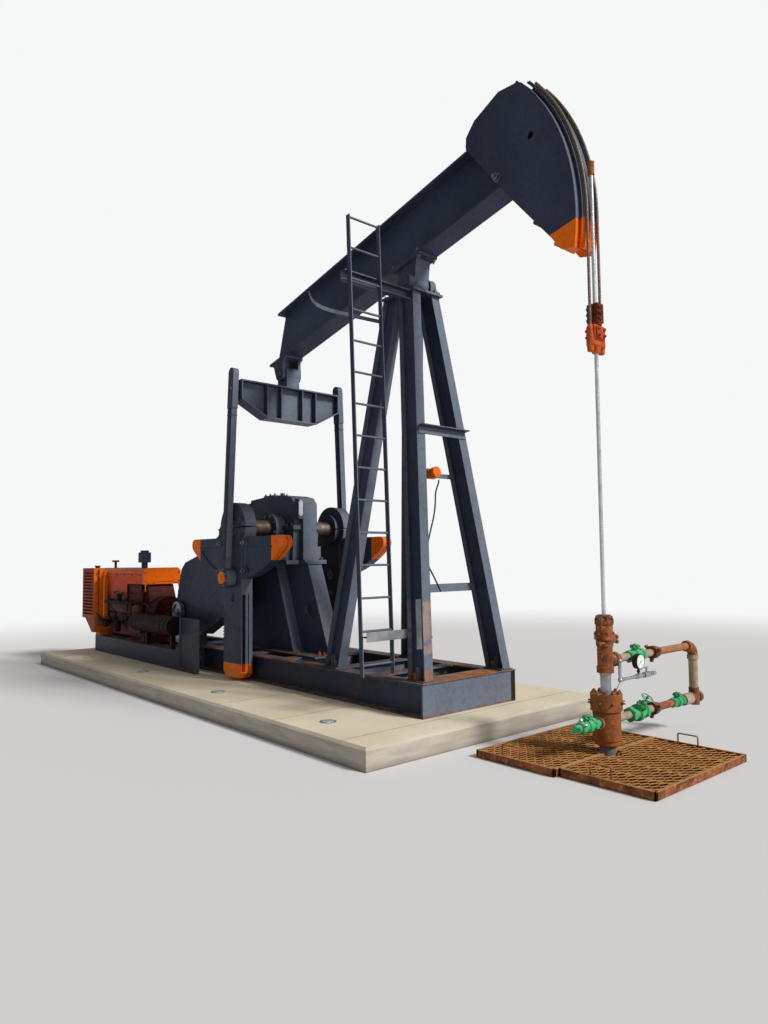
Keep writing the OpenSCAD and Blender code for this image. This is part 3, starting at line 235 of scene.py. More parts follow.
# %% Copies and pieces
def copies(unit, places, aims):
    """Point of copy k = place_k + x across_k + y over_k + z aim_k, for all copies at once."""
    verts, quads, tris = unit
    places = np.atleast_2d(places).astype(float)
    aims = np.broadcast_to(np.atleast_2d(aims).astype(float), places.shape)
    aims = aims / np.linalg.norm(aims, axis=1, keepdims=True)
    across, _ = side_frame(aims)
    turn = np.stack([across, np.cross(aims, across), aims], axis=-1)
    moved = places[:, None] + np.einsum("kij,mj->kmi", turn, verts)
    shift = (np.arange(len(places)) * len(verts))[:, None, None]
    return moved.reshape(-1, 3), (quads + shift).reshape(-1, 4), (tris + shift).reshape(-1, 3)


def to_mesh(name, parts, crease=32):
    """Writes the joined skins with foreach_set: corner lists of the quads, then of the triangles."""
    verts, quads, tris = joined(parts)
    mesh = bpy.data.meshes.new(name)
    mesh.vertices.add(len(verts))
    mesh.vertices.foreach_set("co", verts.astype(np.float32).ravel())
    corners = np.concatenate([quads.ravel(), tris.ravel()]).astype(np.int32)
    mesh.loops.add(len(corners))
    mesh.loops.foreach_set("vertex_index", corners)
    first = np.concatenate([np.arange(len(quads)) * 4, 4 * len(quads) + np.arange(len(tris)) * 3])
    mesh.polygons.add(len(first))
    mesh.polygons.foreach_set("loop_start", first.astype(np.int32))
    mesh.update(calc_edges=True)
    mesh.validate()
    mesh.polygons.foreach_set("use_smooth", np.ones(len(mesh.polygons), bool))
    mesh.set_sharp_from_angle(angle=np.radians(crease))
    return mesh


faces_made = {}


def piece(name, parts, finish, body, crease=32):
    """Puts the skins into one object at the origin, and ties it to the body that carries it."""
    obj = bpy.data.objects.new(name, to_mesh(name, parts, crease))
    bpy.context.scene.collection.objects.link(obj)
    obj.data.materials.append(finish)
    if body:
        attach(obj, body)
    faces_made[name] = len(obj.data.polygons)
    print("piece", name, "faces", faces_made[name])
    return obj


# %% [markdown]
# ## Finishes as sums of nodes
# A finish that looks real is never one colour: paint fades, runs, collects dust on what faces up and
# chips where two faces meet. Each of those is a mask between 0 and 1, read from the piece's own
# coordinates so that the pattern stays put when the machine moves. The helper below adds one node
# per call and hands back its socket, so that a recipe further down reads almost like a sentence.

# %% The finish helper
def tone(code):
    """Linear colour of an sRGB code: c / 12.92 below 0.04045, else ((c + 0.055) / 1.055) ** 2.4."""
    c = np.array([int(code[i:i + 2], 16) for i in (1, 3, 5)]) / 255
    linear = np.where(c <= 0.04045, c / 12.92, ((c + 0.055) / 1.055) ** 2.4)
    return (*[float(v) for v in linear], 1.0)


class Finish:
    """A material's node tree that grows by one node per call."""

    def __init__(self, name):
        self.material = bpy.data.materials.new(name)
        self.material.use_nodes = True
        self.tree = self.material.node_tree
        self.tree.nodes.clear()
        self.place = self.node("ShaderNodeTexCoord").outputs["Object"]
        self.normal = self.node("ShaderNodeNewGeometry").outputs["Normal"]
        self.x, self.y, self.z = self.node("ShaderNodeSeparateXYZ", {0: self.place}).outputs
        self.nx, self.ny, self.nz = self.node("ShaderNodeSeparateXYZ", {0: self.normal}).outputs

    def node(self, kind, inputs=None, **settings):
        new = self.tree.nodes.new(kind)
        for key, value in settings.items():
            setattr(new, key, value)
        for key, value in (inputs or {}).items():
            self.feed(new.inputs[key], value)
        return new

    def feed(self, socket, value):
        """Links another node's output, or writes a fixed number or colour onto the socket itself."""
        if isinstance(value, bpy.types.NodeSocket):
            self.tree.links.new(value, socket)
        else:
            socket.default_value = value

    def math(self, kind, *values):
        return self.node("ShaderNodeMath", dict(enumerate(values)), operation=kind).outputs[0]

    def add(self, a, b):
        return self.math("ADD", a, b)

    def less(self, a, b):
        return self.math("SUBTRACT", a, b)

    def size(self, a):
        return self.math("ABSOLUTE", a)

    def both(self, mask, *more):
        """The product of masks: on only where all of them are."""
        for other in more:
            mask = self.math("MULTIPLY", mask, other)
        return mask

    def either(self, mask, *more):
        """The largest of masks: on where any of them is."""
        for other in more:
            mask = self.math("MAXIMUM", mask, other)
        return mask

    def ramp(self, value, low, high, start=0.0, stop=1.0):
        """A smooth step from start at low to stop at high."""
        return self.node("ShaderNodeMapRange", {0: value, 1: low, 2: high, 3: start, 4: stop},
                         interpolation_type="SMOOTHSTEP").outputs[0]

    def span(self, value, low, high, blur=0.006):
        """A mask that is on between low and high."""
        return self.both(self.ramp(value, low - blur, low + blur), self.ramp(value, high + blur, high - blur))

    def noise(self, scale, stretch=(1, 1, 1), detail=4.0, warp=0.0):
        """Cloudy noise on the object's coordinates, each axis first multiplied by its stretch."""
        place = self.node("ShaderNodeVectorMath", {0: self.place, 1: stretch}, operation="MULTIPLY").outputs[0]
        return self.node("ShaderNodeTexNoise", {"Vector": place, "Scale": scale, "Detail": detail,
                                                "Roughness": 0.55, "Distortion": warp}).outputs[0]

    def cloud(self, scale, low, high, start=0.0, stop=1.0, **noise):
        """Noise cut into patches with soft edges."""
        return self.ramp(self.noise(scale, **noise), low, high, start, stop)

    def wobbly(self, value, scale, amount, **noise):
        """A coordinate shifted a little by noise, so that an edge drawn along it isn't ruled."""
        return self.add(value, self.both(self.noise(scale, **noise), amount))

    def over(self, share, under, top):
        """The colour top laid over under by share. Either may be a colour code."""
        under, top = (tone(c) if isinstance(c, str) else c for c in (under, top))
        return self.node("ShaderNodeMix", {0: share, 6: under, 7: top}, data_type="RGBA").outputs[2]

    def facing_up(self, low=0.5, high=0.95):
        return self.ramp(self.nz, low, high)

    def rounded(self, reach):
        """The normal as it would be if every edge were rounded by reach."""
        return self.node("ShaderNodeBevel", {0: reach}, samples=4).outputs[0]

    def edges(self, rounded):
        """Near an edge the rounded normal leaves the true one: mask = 1 - their dot product."""
        dot = self.node("ShaderNodeVectorMath", {0: rounded, 1: self.normal}, operation="DOT_PRODUCT")
        return self.ramp(self.less(1.0, dot.outputs["Value"]), 0.02, 0.25)

    def relief(self, height, depth, strength, under=None):
        inputs = {"Height": height, "Distance": depth, "Strength": strength}
        if under is not None:
            inputs["Normal"] = under
        return self.node("ShaderNodeBump", inputs).outputs[0]

    def close(self, colour, roughness, normal, **fixed):
        """The last node. Fixed numbers go straight onto the shader's own sockets."""
        inputs = {"Base Color": colour, "Roughness": roughness, "Normal": normal}
        inputs.update({key.replace("_", " "): value for key, value in fixed.items()})
        shader = self.node("ShaderNodeBsdfPrincipled", inputs)
        self.node("ShaderNodeOutputMaterial", {0: shader.outputs[0]})
        return self.material


print("navy paint as a linear colour:", [round(v, 3) for v in tone("#3a4356")])

# %% [markdown]
# ## Rust and paint
# Steel that stands outside shows three things. Rust has a dark scale, a warm brown body and orange
# bloom, and all three come from noise at different sizes. Paint on top of it fades in broad clouds,
# carries rust runs that are long and narrow because water draws them down, and is chipped along
# edges and in small spots. Dust lies only on what faces up. One recipe makes every paint on the
# machine. Its arguments say how old that paint is, and which faces get a painted highlight or
# painted shade that stands in for the light.

# %% The paint recipe
orange, faded_orange = "#f26a0a", "#ea7a22"


def rust_colour(f):
    """Scale, body and bloom of rust: three browns between two noises."""
    body = f.over(f.cloud(9, 0.35, 0.65, detail=6), "#5c3019", "#96521f")
    return f.over(f.cloud(38, 0.52, 0.70, detail=5), body, "#c0702c")


def painted(name, fresh, faded, chips=0.22, runs=0.16, dust=0.28, gloss=0.36, grime=0.0,
            foot=None, bands=None, painted_sun_tint=None):
    """Paint over steel. bands(f) gives (mask, colour) pairs for parts sprayed in a second colour, and on some
    pieces for painted shade and a painted sky reflection. The sun-side tint is painted onto the faces that look
    towards +X as a painted highlight for the key light, and rust climbs from the ground up to foot."""
    f = Finish(name)
    broad, fine, rounded = f.noise(0.8, detail=3), f.noise(22, detail=5), f.rounded(0.006)
    colour = f.over(f.ramp(broad, 0.32, 0.7), fresh, faded)
    # Painted highlight: faces that look towards +X are lightened towards the sun-side tint, standing for the key
    # light.
    if painted_sun_tint:
        painted_sun_side = f.ramp(f.nx, 0.45, 0.95, 0.0, 0.55)
        colour = f.over(f.both(painted_sun_side, f.ramp(broad, 0.2, 0.8, 0.8, 1.0)), colour, painted_sun_tint)
    for mask, code in (bands(f) if bands else []):
        second = f.over(f.ramp(broad, 0.3, 0.7), code, faded_orange if code == orange else code)
        colour = f.over(mask, colour, second)
    colour = f.over(f.ramp(fine, 0.42, 0.75, 0.0, 0.22), colour, "#10131a")
    streaks = f.cloud(1.0, 0.58, 0.80, 0.0, runs, stretch=(17, 17, 0.8), detail=5)
    colour = f.over(streaks, colour, "#5b4438")
    if grime:
        oil = f.cloud(2.6, 0.38, 0.66, 0.0, grime, stretch=(1, 1, 1.4), detail=7, warp=0.6)
        colour = f.over(oil, colour, "#1d120e")
    settled = f.both(f.facing_up(), f.cloud(5, 0.28, 0.72, detail=6), dust)
    colour = f.over(settled, colour, "#a2978a")
    worn = f.both(f.edges(rounded), f.cloud(30, 0.5 - 0.2 * chips, 0.62, detail=5), min(1.0, 0.5 + chips))
    spots = f.both(f.cloud(55, 0.68, 0.74, detail=2), f.cloud(2.3, 0.54, 0.66), chips)
    bare = f.either(worn, spots)
    if foot:
        damp = f.both(f.ramp(f.z, foot, 0.19), f.cloud(9, 0.60, 0.72, detail=7), 0.6)
        low_line = f.both(f.span(f.z, 0.16, 0.20, 0.012), f.cloud(16, 0.42, 0.6, detail=6), 0.7)
        shelf = f.both(f.facing_up(), f.cloud(4, 0.46, 0.62, detail=6), f.span(f.z, 0.40, 0.56, 0.03), 0.75)
        bare = f.either(bare, damp, low_line, shelf)
    colour = f.over(bare, colour, rust_colour(f))
    matt = f.add(f.ramp(fine, 0.2, 0.8, gloss - 0.06, gloss + 0.14), f.both(f.either(bare, settled), 0.4))
    bumps = f.less(f.noise(210, detail=2), f.both(bare, 2.2))
    return f.close(colour, matt, f.relief(bumps, 0.0012, 0.35, rounded), Specular_IOR_Level=0.12)


def navy(name, **more):
    """The machine's own dark blue-grey, with a lighter grey painted on the faces towards +X as a painted highlight.
    """
    return painted(name, "#2d3548", "#3a4358", painted_sun_tint="#8a94a3", **more)


by_the_ground = dict(foot=0.46, runs=0.24, dust=0.55)
dark_paint = navy("dark_paint")
foot_paint = navy("dark_paint_by_the_ground", chips=0.4, **by_the_ground)
orange_paint = painted("orange_paint", orange, faded_orange, chips=0.4, runs=0.3, dust=0.2, gloss=0.32, grime=0.12)
print("paints so far:", dark_paint.name, foot_paint.name, orange_paint.name)

# %% [markdown]
# ## Orange warning bands
# Whatever swings near the walkway is tipped in orange: the lower ends of the cranks, the tips of
# the counterweights, the chin of the horsehead. The band is sprayed on, so it is a mask in the
# piece's own coordinates with a sharp but not perfect edge. Modelling it as a separate sleeve would
# leave a step that the real paint doesn't have. Oil and dust on the engine's hood work the same way.

# %% Banded paints
def crank_bands(f):
    return [(f.ramp(f.wobbly(f.z, 8, 0.02), 0.398, 0.388), orange)]


def weight_bands(f):
    """Orange beyond 0.85 m from the shaft, with a dark gap between the two halves of the tip."""
    tip = f.ramp(f.wobbly(f.size(f.less(f.x, CRANK_X)), 8, 0.015), 0.850, 0.858)
    return [(tip, orange), (f.both(tip, f.span(f.size(f.y), 0.722, 0.732, 0.002)), "#252833")]


def chin_bands(f):
    """v = (point - pivot) . SQUARE, and the chin is what lies below v = -0.5."""
    v = f.add(f.both(f.x, float(SQUARE[0])), f.both(f.less(f.z, PIVOT_Z), float(SQUARE[2])))
    return [(f.ramp(v, -0.492, -0.502), orange)]


def cap_bands(f):
    return [(f.ramp(f.size(f.y), 0.9405, 0.9415), orange)]


def skid_recess_painted_shade(f):
    """Painted shade: on the end plate's face, where the far runner's open end would be, a near-black band stands for
    the dark of that recess.
    """
    return [(f.both(f.ramp(f.nx, 0.7, 0.9), f.span(f.y, 0.578, 0.70), f.ramp(f.x, 0.60, 0.62)), "#171a22")]


def cap_and_filter_bands(f):
    """The tall filter can is grey-blue, the two low caps beside it are brown-red."""
    return [(f.ramp(f.x, -5.50, -5.40), "#444d5c")]


def hood_shade_sheen_dust_and_oil(f):
    """Behind the front flap the sides are painted a deeper red as painted shade, and their lower half is soaked with
    oil.
    The top is painted grey-blue: dust, together with a painted sky reflection.
    """
    behind = f.ramp(f.x, -4.83, -4.85)
    oily = f.both(f.ramp(f.wobbly(f.z, 3, 0.5, detail=6), 1.58, 1.30), behind, f.ramp(f.x, -6.37, -6.33))
    # Painted shade on the sides, and a painted sky reflection mixed with dust on the top.
    return [(f.both(f.ramp(f.size(f.ny), 0.7, 0.9), behind), "#d2450a"),
            (f.facing_up(0.6, 0.9), "#6c7386"), (oily, "#38120a")]


def radiator_shade_sheen_and_dust(f):
    """The slotted side is painted dark red as painted shade, and the top is painted grey: dust, together with a
    painted sky reflection.
    """
    # Painted shade on the side, a painted sky reflection with dust on the top.
    return [(f.ramp(f.size(f.ny), 0.7, 0.9), "#9a330b"), (f.facing_up(0.6, 0.9), "#5d6172")]


def patched_bands(f):
    """The flange that faces the well lost its paint in two places and was only primed again."""
    front = f.ramp(f.nx, 0.7, 0.9)
    upper = f.both(f.span(f.z, 0.74, 1.21, 0.02), f.cloud(7, 0.36, 0.52, detail=6), front, 0.75)
    lower = f.both(f.span(f.z, 0.50, 0.60, 0.02), f.cloud(9, 0.36, 0.5, detail=6), front, 0.8)
    return [(upper, "#a88d85"), (lower, "#a06b45")]


crank_paint = navy("crank_paint", bands=crank_bands)
weight_paint = navy("counterweight_paint", bands=weight_bands)
head_paint = navy("horsehead_paint", chips=0.5, bands=chin_bands)
pitman_paint = navy("pitman_paint", bands=cap_bands)
# The skid's paint carries a band of painted shade where the far runner's open end would be.
skid_shade_and_end_paint = navy("skid_recess_shade_and_paint", chips=0.3, bands=skid_recess_painted_shade, **by_the_ground)
patched_paint = navy("patched_leg_paint", foot=0.6, chips=0.4, bands=patched_bands)
clamp_paint = painted("clamp_paint", "#6a2a1b", "#84402c", chips=0.6, grime=0.5)
carrier_paint = painted("carrier_paint", "#dd4f16", "#c9602f", chips=0.7, runs=0.5, grime=0.4)
hood_shaded_paint = painted("hood_shaded_paint", orange, faded_orange, chips=0.35, runs=0.15, dust=0.1, gloss=0.34,
                     bands=hood_shade_sheen_dust_and_oil)
radiator_shaded_paint = painted("radiator_shaded_paint", orange, faded_orange, chips=0.4, runs=0.2, dust=0.1, gloss=0.34,
                         bands=radiator_shade_sheen_and_dust)
# Painted shade: the blades in the radiator's slots are a darker red than the orange paint, standing for the shade
# inside the slots.
louvre_shade_red = painted("louvre_shade_red", "#a3300a", "#8b2a0c", chips=0.3, runs=0.1, dust=0.05, gloss=0.4, grime=0.7)
oily_iron = painted("oily_engine_iron", "#1d0f0b", "#2c1510", chips=0.05, runs=0.05, dust=0.02, gloss=0.52,
                    grime=0.7)
engine_paint = painted("engine_paint", "#56190c", "#742510", chips=0.2, runs=0.2, dust=0.06, gloss=0.45, grime=0.9)
green_paint = painted("valve_green", "#2f9d62", "#49b87c", chips=0.3, runs=0.2, dust=0.35, gloss=0.32)
cap_paint = painted("breather_red", "#4a1f1c", "#5a2b26", chips=0.6, gloss=0.45, bands=cap_and_filter_bands)
print("paints now:", len(bpy.data.materials))

# %% [markdown]
# ## Bare metals, rope and concrete
# The wellhead is scaly rust, the rod is ground bright, and the bolts are grey with brown in their
# corners. Concrete is pale sand and cement, darker where water stands, with saw cuts across the
# slab and the marks of form boards on its sides. Each gets its own short recipe, because what makes
# them look right is different every time.

# %% Bare finishes
def rusty(name, pale=0.0, tints=None):
    """tints(f) gives (mask, colour code, share) rows for lengths whose rust has another shade."""
    f = Finish(name)
    rounded = f.rounded(0.004)
    colour = f.over(f.cloud(3.2, 0.5, 0.68, 0.0, 0.4, detail=6), rust_colour(f), "#6a4a36")
    colour = f.over(f.cloud(16, 0.56, 0.7, 0.0, 0.3 + pale, detail=5), colour, "#b98a5c")
    for mask, code, share in (tints(f) if tints else []):
        colour = f.over(f.both(mask, f.cloud(13, 0.25, 0.7, share, 0.6 * share, detail=6)), colour, code)
    colour = f.over(f.both(f.facing_up(), f.cloud(8, 0.3, 0.7), 0.45), colour, "#b0936f")
    colour = f.over(f.both(f.edges(rounded), f.cloud(26, 0.42, 0.62), 0.5), colour, "#b08a6c")
    height = f.add(f.both(f.noise(14, detail=6), 1.6), f.noise(90))
    return f.close(colour, f.cloud(30, 0.3, 0.7, 0.68, 0.92), f.relief(height, 0.003, 0.6, rounded))


def bright_steel(name, base, wear, roughness, brown=0.3, metallic=0.92, grain=0.4):
    """Two greys with brown patches, and where it is brown it is neither metallic nor shiny."""
    f = Finish(name)
    rust = f.cloud(5, 0.56, 0.7, 0.0, brown, detail=7)
    colour = f.over(rust, f.over(f.cloud(12, 0.3, 0.7, detail=5), base, wear), rust_colour(f))
    shine = f.add(f.cloud(60, 0.3, 0.7, roughness - 0.05, roughness + 0.12, detail=3), f.both(rust, 0.5))
    metal = f.less(metallic, f.both(rust, 0.98 * metallic))
    bumps = f.relief(f.noise(140, detail=3), 0.0006, grain, f.rounded(0.002))
    return f.close(colour, shine, bumps, Metallic=metal)


def poured_concrete(name):
    """Grains and stains on top, board marks and a dark foot on the sides, a saw cut at every metre. The top
    is lighter and creamier than the sides: partly painted light for the top that faces the key, partly the
    grey dirt of the sides.
    """
    f = Finish(name)
    top = f.over(f.cloud(1.1, 0.3, 0.7, detail=6), "#dccdb2", "#ece0c8")
    grains = f.node("ShaderNodeTexVoronoi", {"Vector": f.place, "Scale": 95.0}).outputs["Distance"]
    top = f.over(f.ramp(grains, 0.28, 0.1, 0.0, 0.22), top, "#ab9d85")
    top = f.over(f.cloud(0.9, 0.52, 0.74, 0.0, 0.4, stretch=(1, 1.6, 1), detail=8, warp=0.8), top, "#bfae92")
    wall = f.over(f.cloud(3, 0.3, 0.7, stretch=(1, 1, 6), detail=6), "#a79f94", "#bfb6a8")
    wall = f.over(f.ramp(f.z, 0.07, 0.0, 0.0, 0.6), wall, "#80786b")
    # The top is painted lighter than the sides: partly painted light on the top, partly the sides' own grey dirt.
    level = f.facing_up(0.6, 0.9)
    from_cut = f.size(f.math("WRAP", f.add(f.x, 0.25), 0.5, -0.5))
    cut = f.both(f.ramp(from_cut, 0.006, 0.003), level)
    colour = f.over(f.both(cut, 0.7), f.over(level, wall, top), "#5d564b")
    boards = f.node("ShaderNodeTexWave", {"Vector": f.place, "Scale": 5.5, "Distortion": 1.2, "Detail": 3.0},
                    bands_direction="Z").outputs[0]
    height = f.add(f.both(f.noise(60, detail=8), 0.7), f.both(cut, -4.0))
    height = f.add(height, f.both(boards, f.less(0.35, f.both(level, 0.35))))
    return f.close(colour, f.cloud(20, 0.3, 0.7, 0.82, 0.95), f.relief(height, 0.004, 0.6, f.rounded(0.012)))


def plain(name, base, second, roughness, scale=30, **fixed):
    """Two shades in small patches over a fine grain."""
    f = Finish(name)
    shine = f.cloud(2 * scale, 0.3, 0.7, roughness - 0.06, roughness + 0.08)
    bumps = f.relief(f.noise(6 * scale, detail=3), 0.0008, 0.5)
    return f.close(f.over(f.cloud(scale, 0.35, 0.68, detail=5), base, second), shine, bumps, **fixed)


PALE, SOOT = "#b9b3a6", "#3b3330"


def along_y(f, *rows):
    return [(f.span(f.y, low, high), code, share) for low, high, code, share in rows]


def flow_tints(f):
    """Pale pipe next to the valve, a sooty union, a pinkish length, and a sandy riser."""
    riser = f.both(f.span(f.y, 1.37, 1.6), f.ramp(f.z, 0.70, 0.68))
    return along_y(f, (0.10, 0.335, PALE, 0.75), (0.575, 0.69, PALE, 0.7), (0.70, 0.82, SOOT, 0.7),
                   (0.83, 1.36, "#b07a5c", 0.6)) + [(riser, "#b3a587", 0.85)]


def casing_tints(f):
    return along_y(f, (0.10, 0.335, PALE, 0.75), (0.585, 0.68, PALE, 0.7), (0.685, 0.79, SOOT, 0.7),
                   (1.24, 1.37, PALE, 0.8), (1.38, 1.6, "#4a3a31", 0.6))


def head_tints(f):
    """Redder above the pit, grey pipe in it, and pale outlets."""
    outlets = f.both(f.ramp(f.size(f.y), 0.1095, 0.111), f.ramp(f.z, 0.37, 0.36))
    return [(f.ramp(f.z, 0.10, 0.11), "#9c5420", 0.6), (f.ramp(f.z, 0.128, 0.122), "#5f6a75", 0.9),
            (outlets, "#a9a296", 0.6)]


rusty_iron = rusty("rusty_iron")
flow_iron = rusty("flow_line_iron", tints=flow_tints)
casing_iron = rusty("casing_line_iron", tints=casing_tints)
head_iron = rusty("casing_head_iron", tints=head_tints)
grate_rust = rusty("grate_rust", pale=0.3, tints=lambda f: [(f.facing_up(0.1, 0.6), "#c58c46", 0.9)])
deck_rust = rusty("deck_rust", tints=lambda f: [(f.cloud(2.1, 0.42, 0.6, detail=5), "#6f6a66", 0.75)])
bolt_rust = rusty("rusty_bolts", tints=lambda f: [(f.cloud(11, 0.4, 0.6, detail=3), "#4a3426", 0.6)])
rod_steel = bright_steel("polished_rod_steel", "#dfe2e6", "#c3c7cc", 0.26, brown=0.04, metallic=0.5, grain=0.04)
nut_steel = bright_steel("nut_steel", "#8b8f94", "#5f6368", 0.38, brown=0.75)
zinc = bright_steel("zinc_plating", "#b7bcc0", "#9aa0a5", 0.36, brown=0.2, metallic=0.7)
shaft_steel = bright_steel("shaft_steel", "#8d8076", "#6d5a4c", 0.45, brown=0.95)
pulley_steel = bright_steel("pulley_steel", "#b4c0d2", "#8b98ad", 0.3, brown=0.15)
slab = poured_concrete("slab_concrete")
# Painted shade: the dark brown of the sheets under the cellar covers stands for the dark of the pit.
pit_painted_shade = plain("pit_painted_shade", "#74491f", "#8f6434", 0.9, scale=12)
rope_finish = plain("greased_rope", "#5a4c40", "#8a7866", 0.5, scale=60, Metallic=0.35)
black_rubber = plain("black_rubber", "#17181b", "#2a2b2e", 0.62)
plate_white = plain("plate_white", "#dfe5ee", "#cbd3df", 0.42)
dial_white = plain("dial_white", "#eef0ee", "#e2e4e0", 0.35)
dial_black = plain("dial_black", "#15161a", "#222327", 0.4)
lamp_glass = plain("lamp_glass", "#c9d2d6", "#aab4b8", 0.12, Coat_Weight=0.6, Coat_Roughness=0.05)
print("finishes made:", len(bpy.data.materials))

# %% [markdown]
# ## Finishing the solids
# The construction model hands over each solid as loose triangles, which shade as flat facets. For
# every node we take a copy, merge its doubled points and let it shade smoothly across shallow
# angles, so that pipes and hubs turn round while plate edges stay crisp. The copy then stands for
# the node, in the same place and at the same size. Nodes that aren't listed get the dark paint.

# %% Dress the nodes
coats = {
    slab: "plinth", zinc: "plinth_lamps tubing_nipple bleed_line", skid_shade_and_end_paint: "skid_cross_members",
    foot_paint: "skid_runner_near skid_runner_far reducer_pedestal guard_post engine_skid",
    crank_paint: "crank_near crank_far", weight_paint: "counterweights_near counterweights_far",
    head_paint: "horsehead", hood_shaded_paint: "engine_hood", pitman_paint: "pitman_near pitman_far",
    patched_paint: "post_leg_front_near", radiator_shaded_paint: "radiator", orange_paint: "switch_box",
    clamp_paint: "rod_clamp", engine_paint: "engine_block", cap_paint: "air_cleaner", oily_iron: "air_tank",
    head_iron: "casing_head", rusty_iron: "pumping_tee stuffing_box", flow_iron: "flow_line",
    casing_iron: "casing_line", pulley_steel: "pulley", nut_steel: "wrist_pins", shaft_steel: "crank_shaft",
    rod_steel: "polished_rod",
}
finish_of = {node: coat for coat, nodes in coats.items() for node in nodes.split()}
rebuilt_later = {"head_lines", "bridle_lines", "flow_valve", "casing_valve", "small_valve", "blind_valve",
                 "pressure_gauge", "cellar_cover_rear", "cellar_cover_front", "carrier_bar"}


def dressed(node, finish):
    """A merged, smoothly shaded copy of the solid that stands for it."""
    source = frame["nodes"][node]
    mesh = source.data.copy()
    shell = bmesh.new()
    shell.from_mesh(mesh)
    bmesh.ops.remove_doubles(shell, verts=shell.verts, dist=2e-5)
    shell.to_mesh(mesh)
    shell.free()
    for stale in [a.name for a in mesh.attributes if "normal" in a.name or "sharp" in a.name]:
        mesh.attributes.remove(mesh.attributes[stale])
    mesh.polygons.foreach_set("use_smooth", np.ones(len(mesh.polygons), bool))
    mesh.set_sharp_from_angle(angle=np.radians(24))
    obj = bpy.data.objects.new(node + "_dressed", mesh)
    bpy.context.scene.collection.objects.link(obj)
    mesh.materials.clear()
    mesh.materials.append(finish)
    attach(obj, body_of(source)[0])
    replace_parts(obj, node)


for node in frame["nodes"]:
    if node not in rebuilt_later:
        dressed(node, finish_of.get(node, dark_paint))
print("dressed", len(frame["nodes"]) - len(rebuilt_later), "solids")

# %% [markdown]
# ## Bolts, nuts and studs
# A nut is a lathe shape with six sides: a small chamfer, the flats, a chamfer again. Below it lies a
# round washer and through it sticks the end of the stud. Every measure is a share of the width
# across the flats, which is also how a drawing office treats fasteners.

# %% Fasteners
def nut(across, washer=True, stud=0.45, high=0.8):
    """Rings of (height, radius): six flats with a chamfer at the top, washer, and a stud end."""
    r, base = across / np.sqrt(3), 0.1 * across if washer else 0.0
    top = base + high * across * 0.7
    here = dict(centre=(0, 0, 0), aim=UP, hint=FRONT)
    flats = [(base - 0.002, r * 0.96), (base, r), (base + high * across * 0.6, r), (top, r * 0.9)]
    parts = [turned(flats, sides=6, **here)]
    if washer:
        parts.append(turned([(-0.002, r * 1.2), (base * 0.7, r * 1.2), (base, r * 1.12)], sides=14, **here))
    if stud:
        end = [(top - 0.003, across * 0.29), (top + stud * across * 0.8, across * 0.29),
               (top + stud * across, across * 0.22)]
        parts.append(turned(end, sides=10, **here))
    return joined(parts)


def circle_of(count, radius, centre, aim, start=0.0):
    """Bolt circle square to aim."""
    return circle(count, radius, centre, *side_frame(np.asarray(aim, float)), start)


def grid(xs, ys, zs):
    return np.array([[x, y, z] for x in xs for y in ys for z in zs], float)


small, medium, heavy = nut(0.024), nut(0.036), nut(0.060)
SIDES = (-1, 1)

# %% Bolts on the base
brackets = [block((x, y, 0.531), (0.046, 0.014, 0.066), 0.003) for x in (0.50, -0.70) for y in (-0.568, 0.512)]
pedestal_feet = np.vstack([grid((-1.555, -1.46), (-0.155, 0.155), (0.50,)),
                           grid((CRANK_X + 0.60, CRANK_X - 1.02), (-0.27, 0.27), (0.50,))])
piece("foot_brackets_and_bolts", brackets + [copies(medium, pedestal_feet, UP)], bolt_rust, "base")
piece("skid_deck", [block((0.552, 0, 0.484), (0.268, 1.286, 0.008))], deck_rust, "base")

top_plate = grid((-0.30, 0.14), (-0.18, 0.18), (4.36,))
bearing_feet = grid((-0.125, 0.125), (-0.15, 0.15), (4.388,))
case_feet = grid(CRANK_X + np.array([-0.77, -0.35, 0.345]), (-0.265, 0.265), (1.60,))
split_sides = grid(CRANK_X + np.array([-0.79, -0.66, -0.53, -0.40, -0.27, 0.25, 0.36]), (-0.193, 0.193), (2.025,))
split_ends = grid(CRANK_X + np.array([-0.822, 0.402]), (-0.10, 0.10), (2.025,))
cover_bolts = grid(CRANK_X + np.array([-0.40, -0.29, -0.18]), (-0.092, 0.092), (2.44,))
bolted = [(small, top_plate), (medium, bearing_feet), (medium, case_feet), (small, split_sides),
          (small, split_ends), (small, cover_bolts)]
housings = [copies(nut(0.030, stud=0), circle_of(8, 0.152, (CRANK_X, s * 0.30, SHAFT_Z), s * FAR, 0.2), s * FAR)
            for s in SIDES]
standing = [copies(unit, places, UP) for unit, places in bolted]
piece("base_bolts", standing + housings, nut_steel, "base")

# %% Bolts, racks and caps on the moving pieces
crank_bolts = []
for s in SIDES:
    holes = [[CRANK_X + m * x, s * 0.795, z] for m in SIDES for x, z in ((0.28, 1.81), (0.29, 1.48))]
    crank_bolts.append(copies(heavy, holes, s * FAR))
for s in SIDES:
    for way in (1, -1):
        spots = grid((CRANK_X + 0.172, CRANK_X + 0.212), (s * 0.725, s * 0.775), (SHAFT_Z + 0.035 * way,))[[0, 3]]
        crank_bolts.append(copies(nut(0.040), spots, way * UP))
piece("crank_bolts", crank_bolts, nut_steel, "crank_set")

TOOTH_PITCH, RACK_X, RACK_TOP = 0.036, CRANK_X - 0.197, SHAFT_Z - 0.790
tooth = np.array([[0.005, 0, -0.014], [0.005, 0, 0.014], [-0.026, 0, 0.005], [-0.026, 0, -0.005]])
rack = []
for s in SIDES:
    for k in range(17):
        ends = [[RACK_X, s * 0.730 + half, RACK_TOP - TOOTH_PITCH * (k + 0.925)] for half in (-0.0745, 0.0745)]
        rack.append(skin(np.array(ends)[:, None] + tooth))
piece("crank_racks", rack, crank_paint, "crank_set")

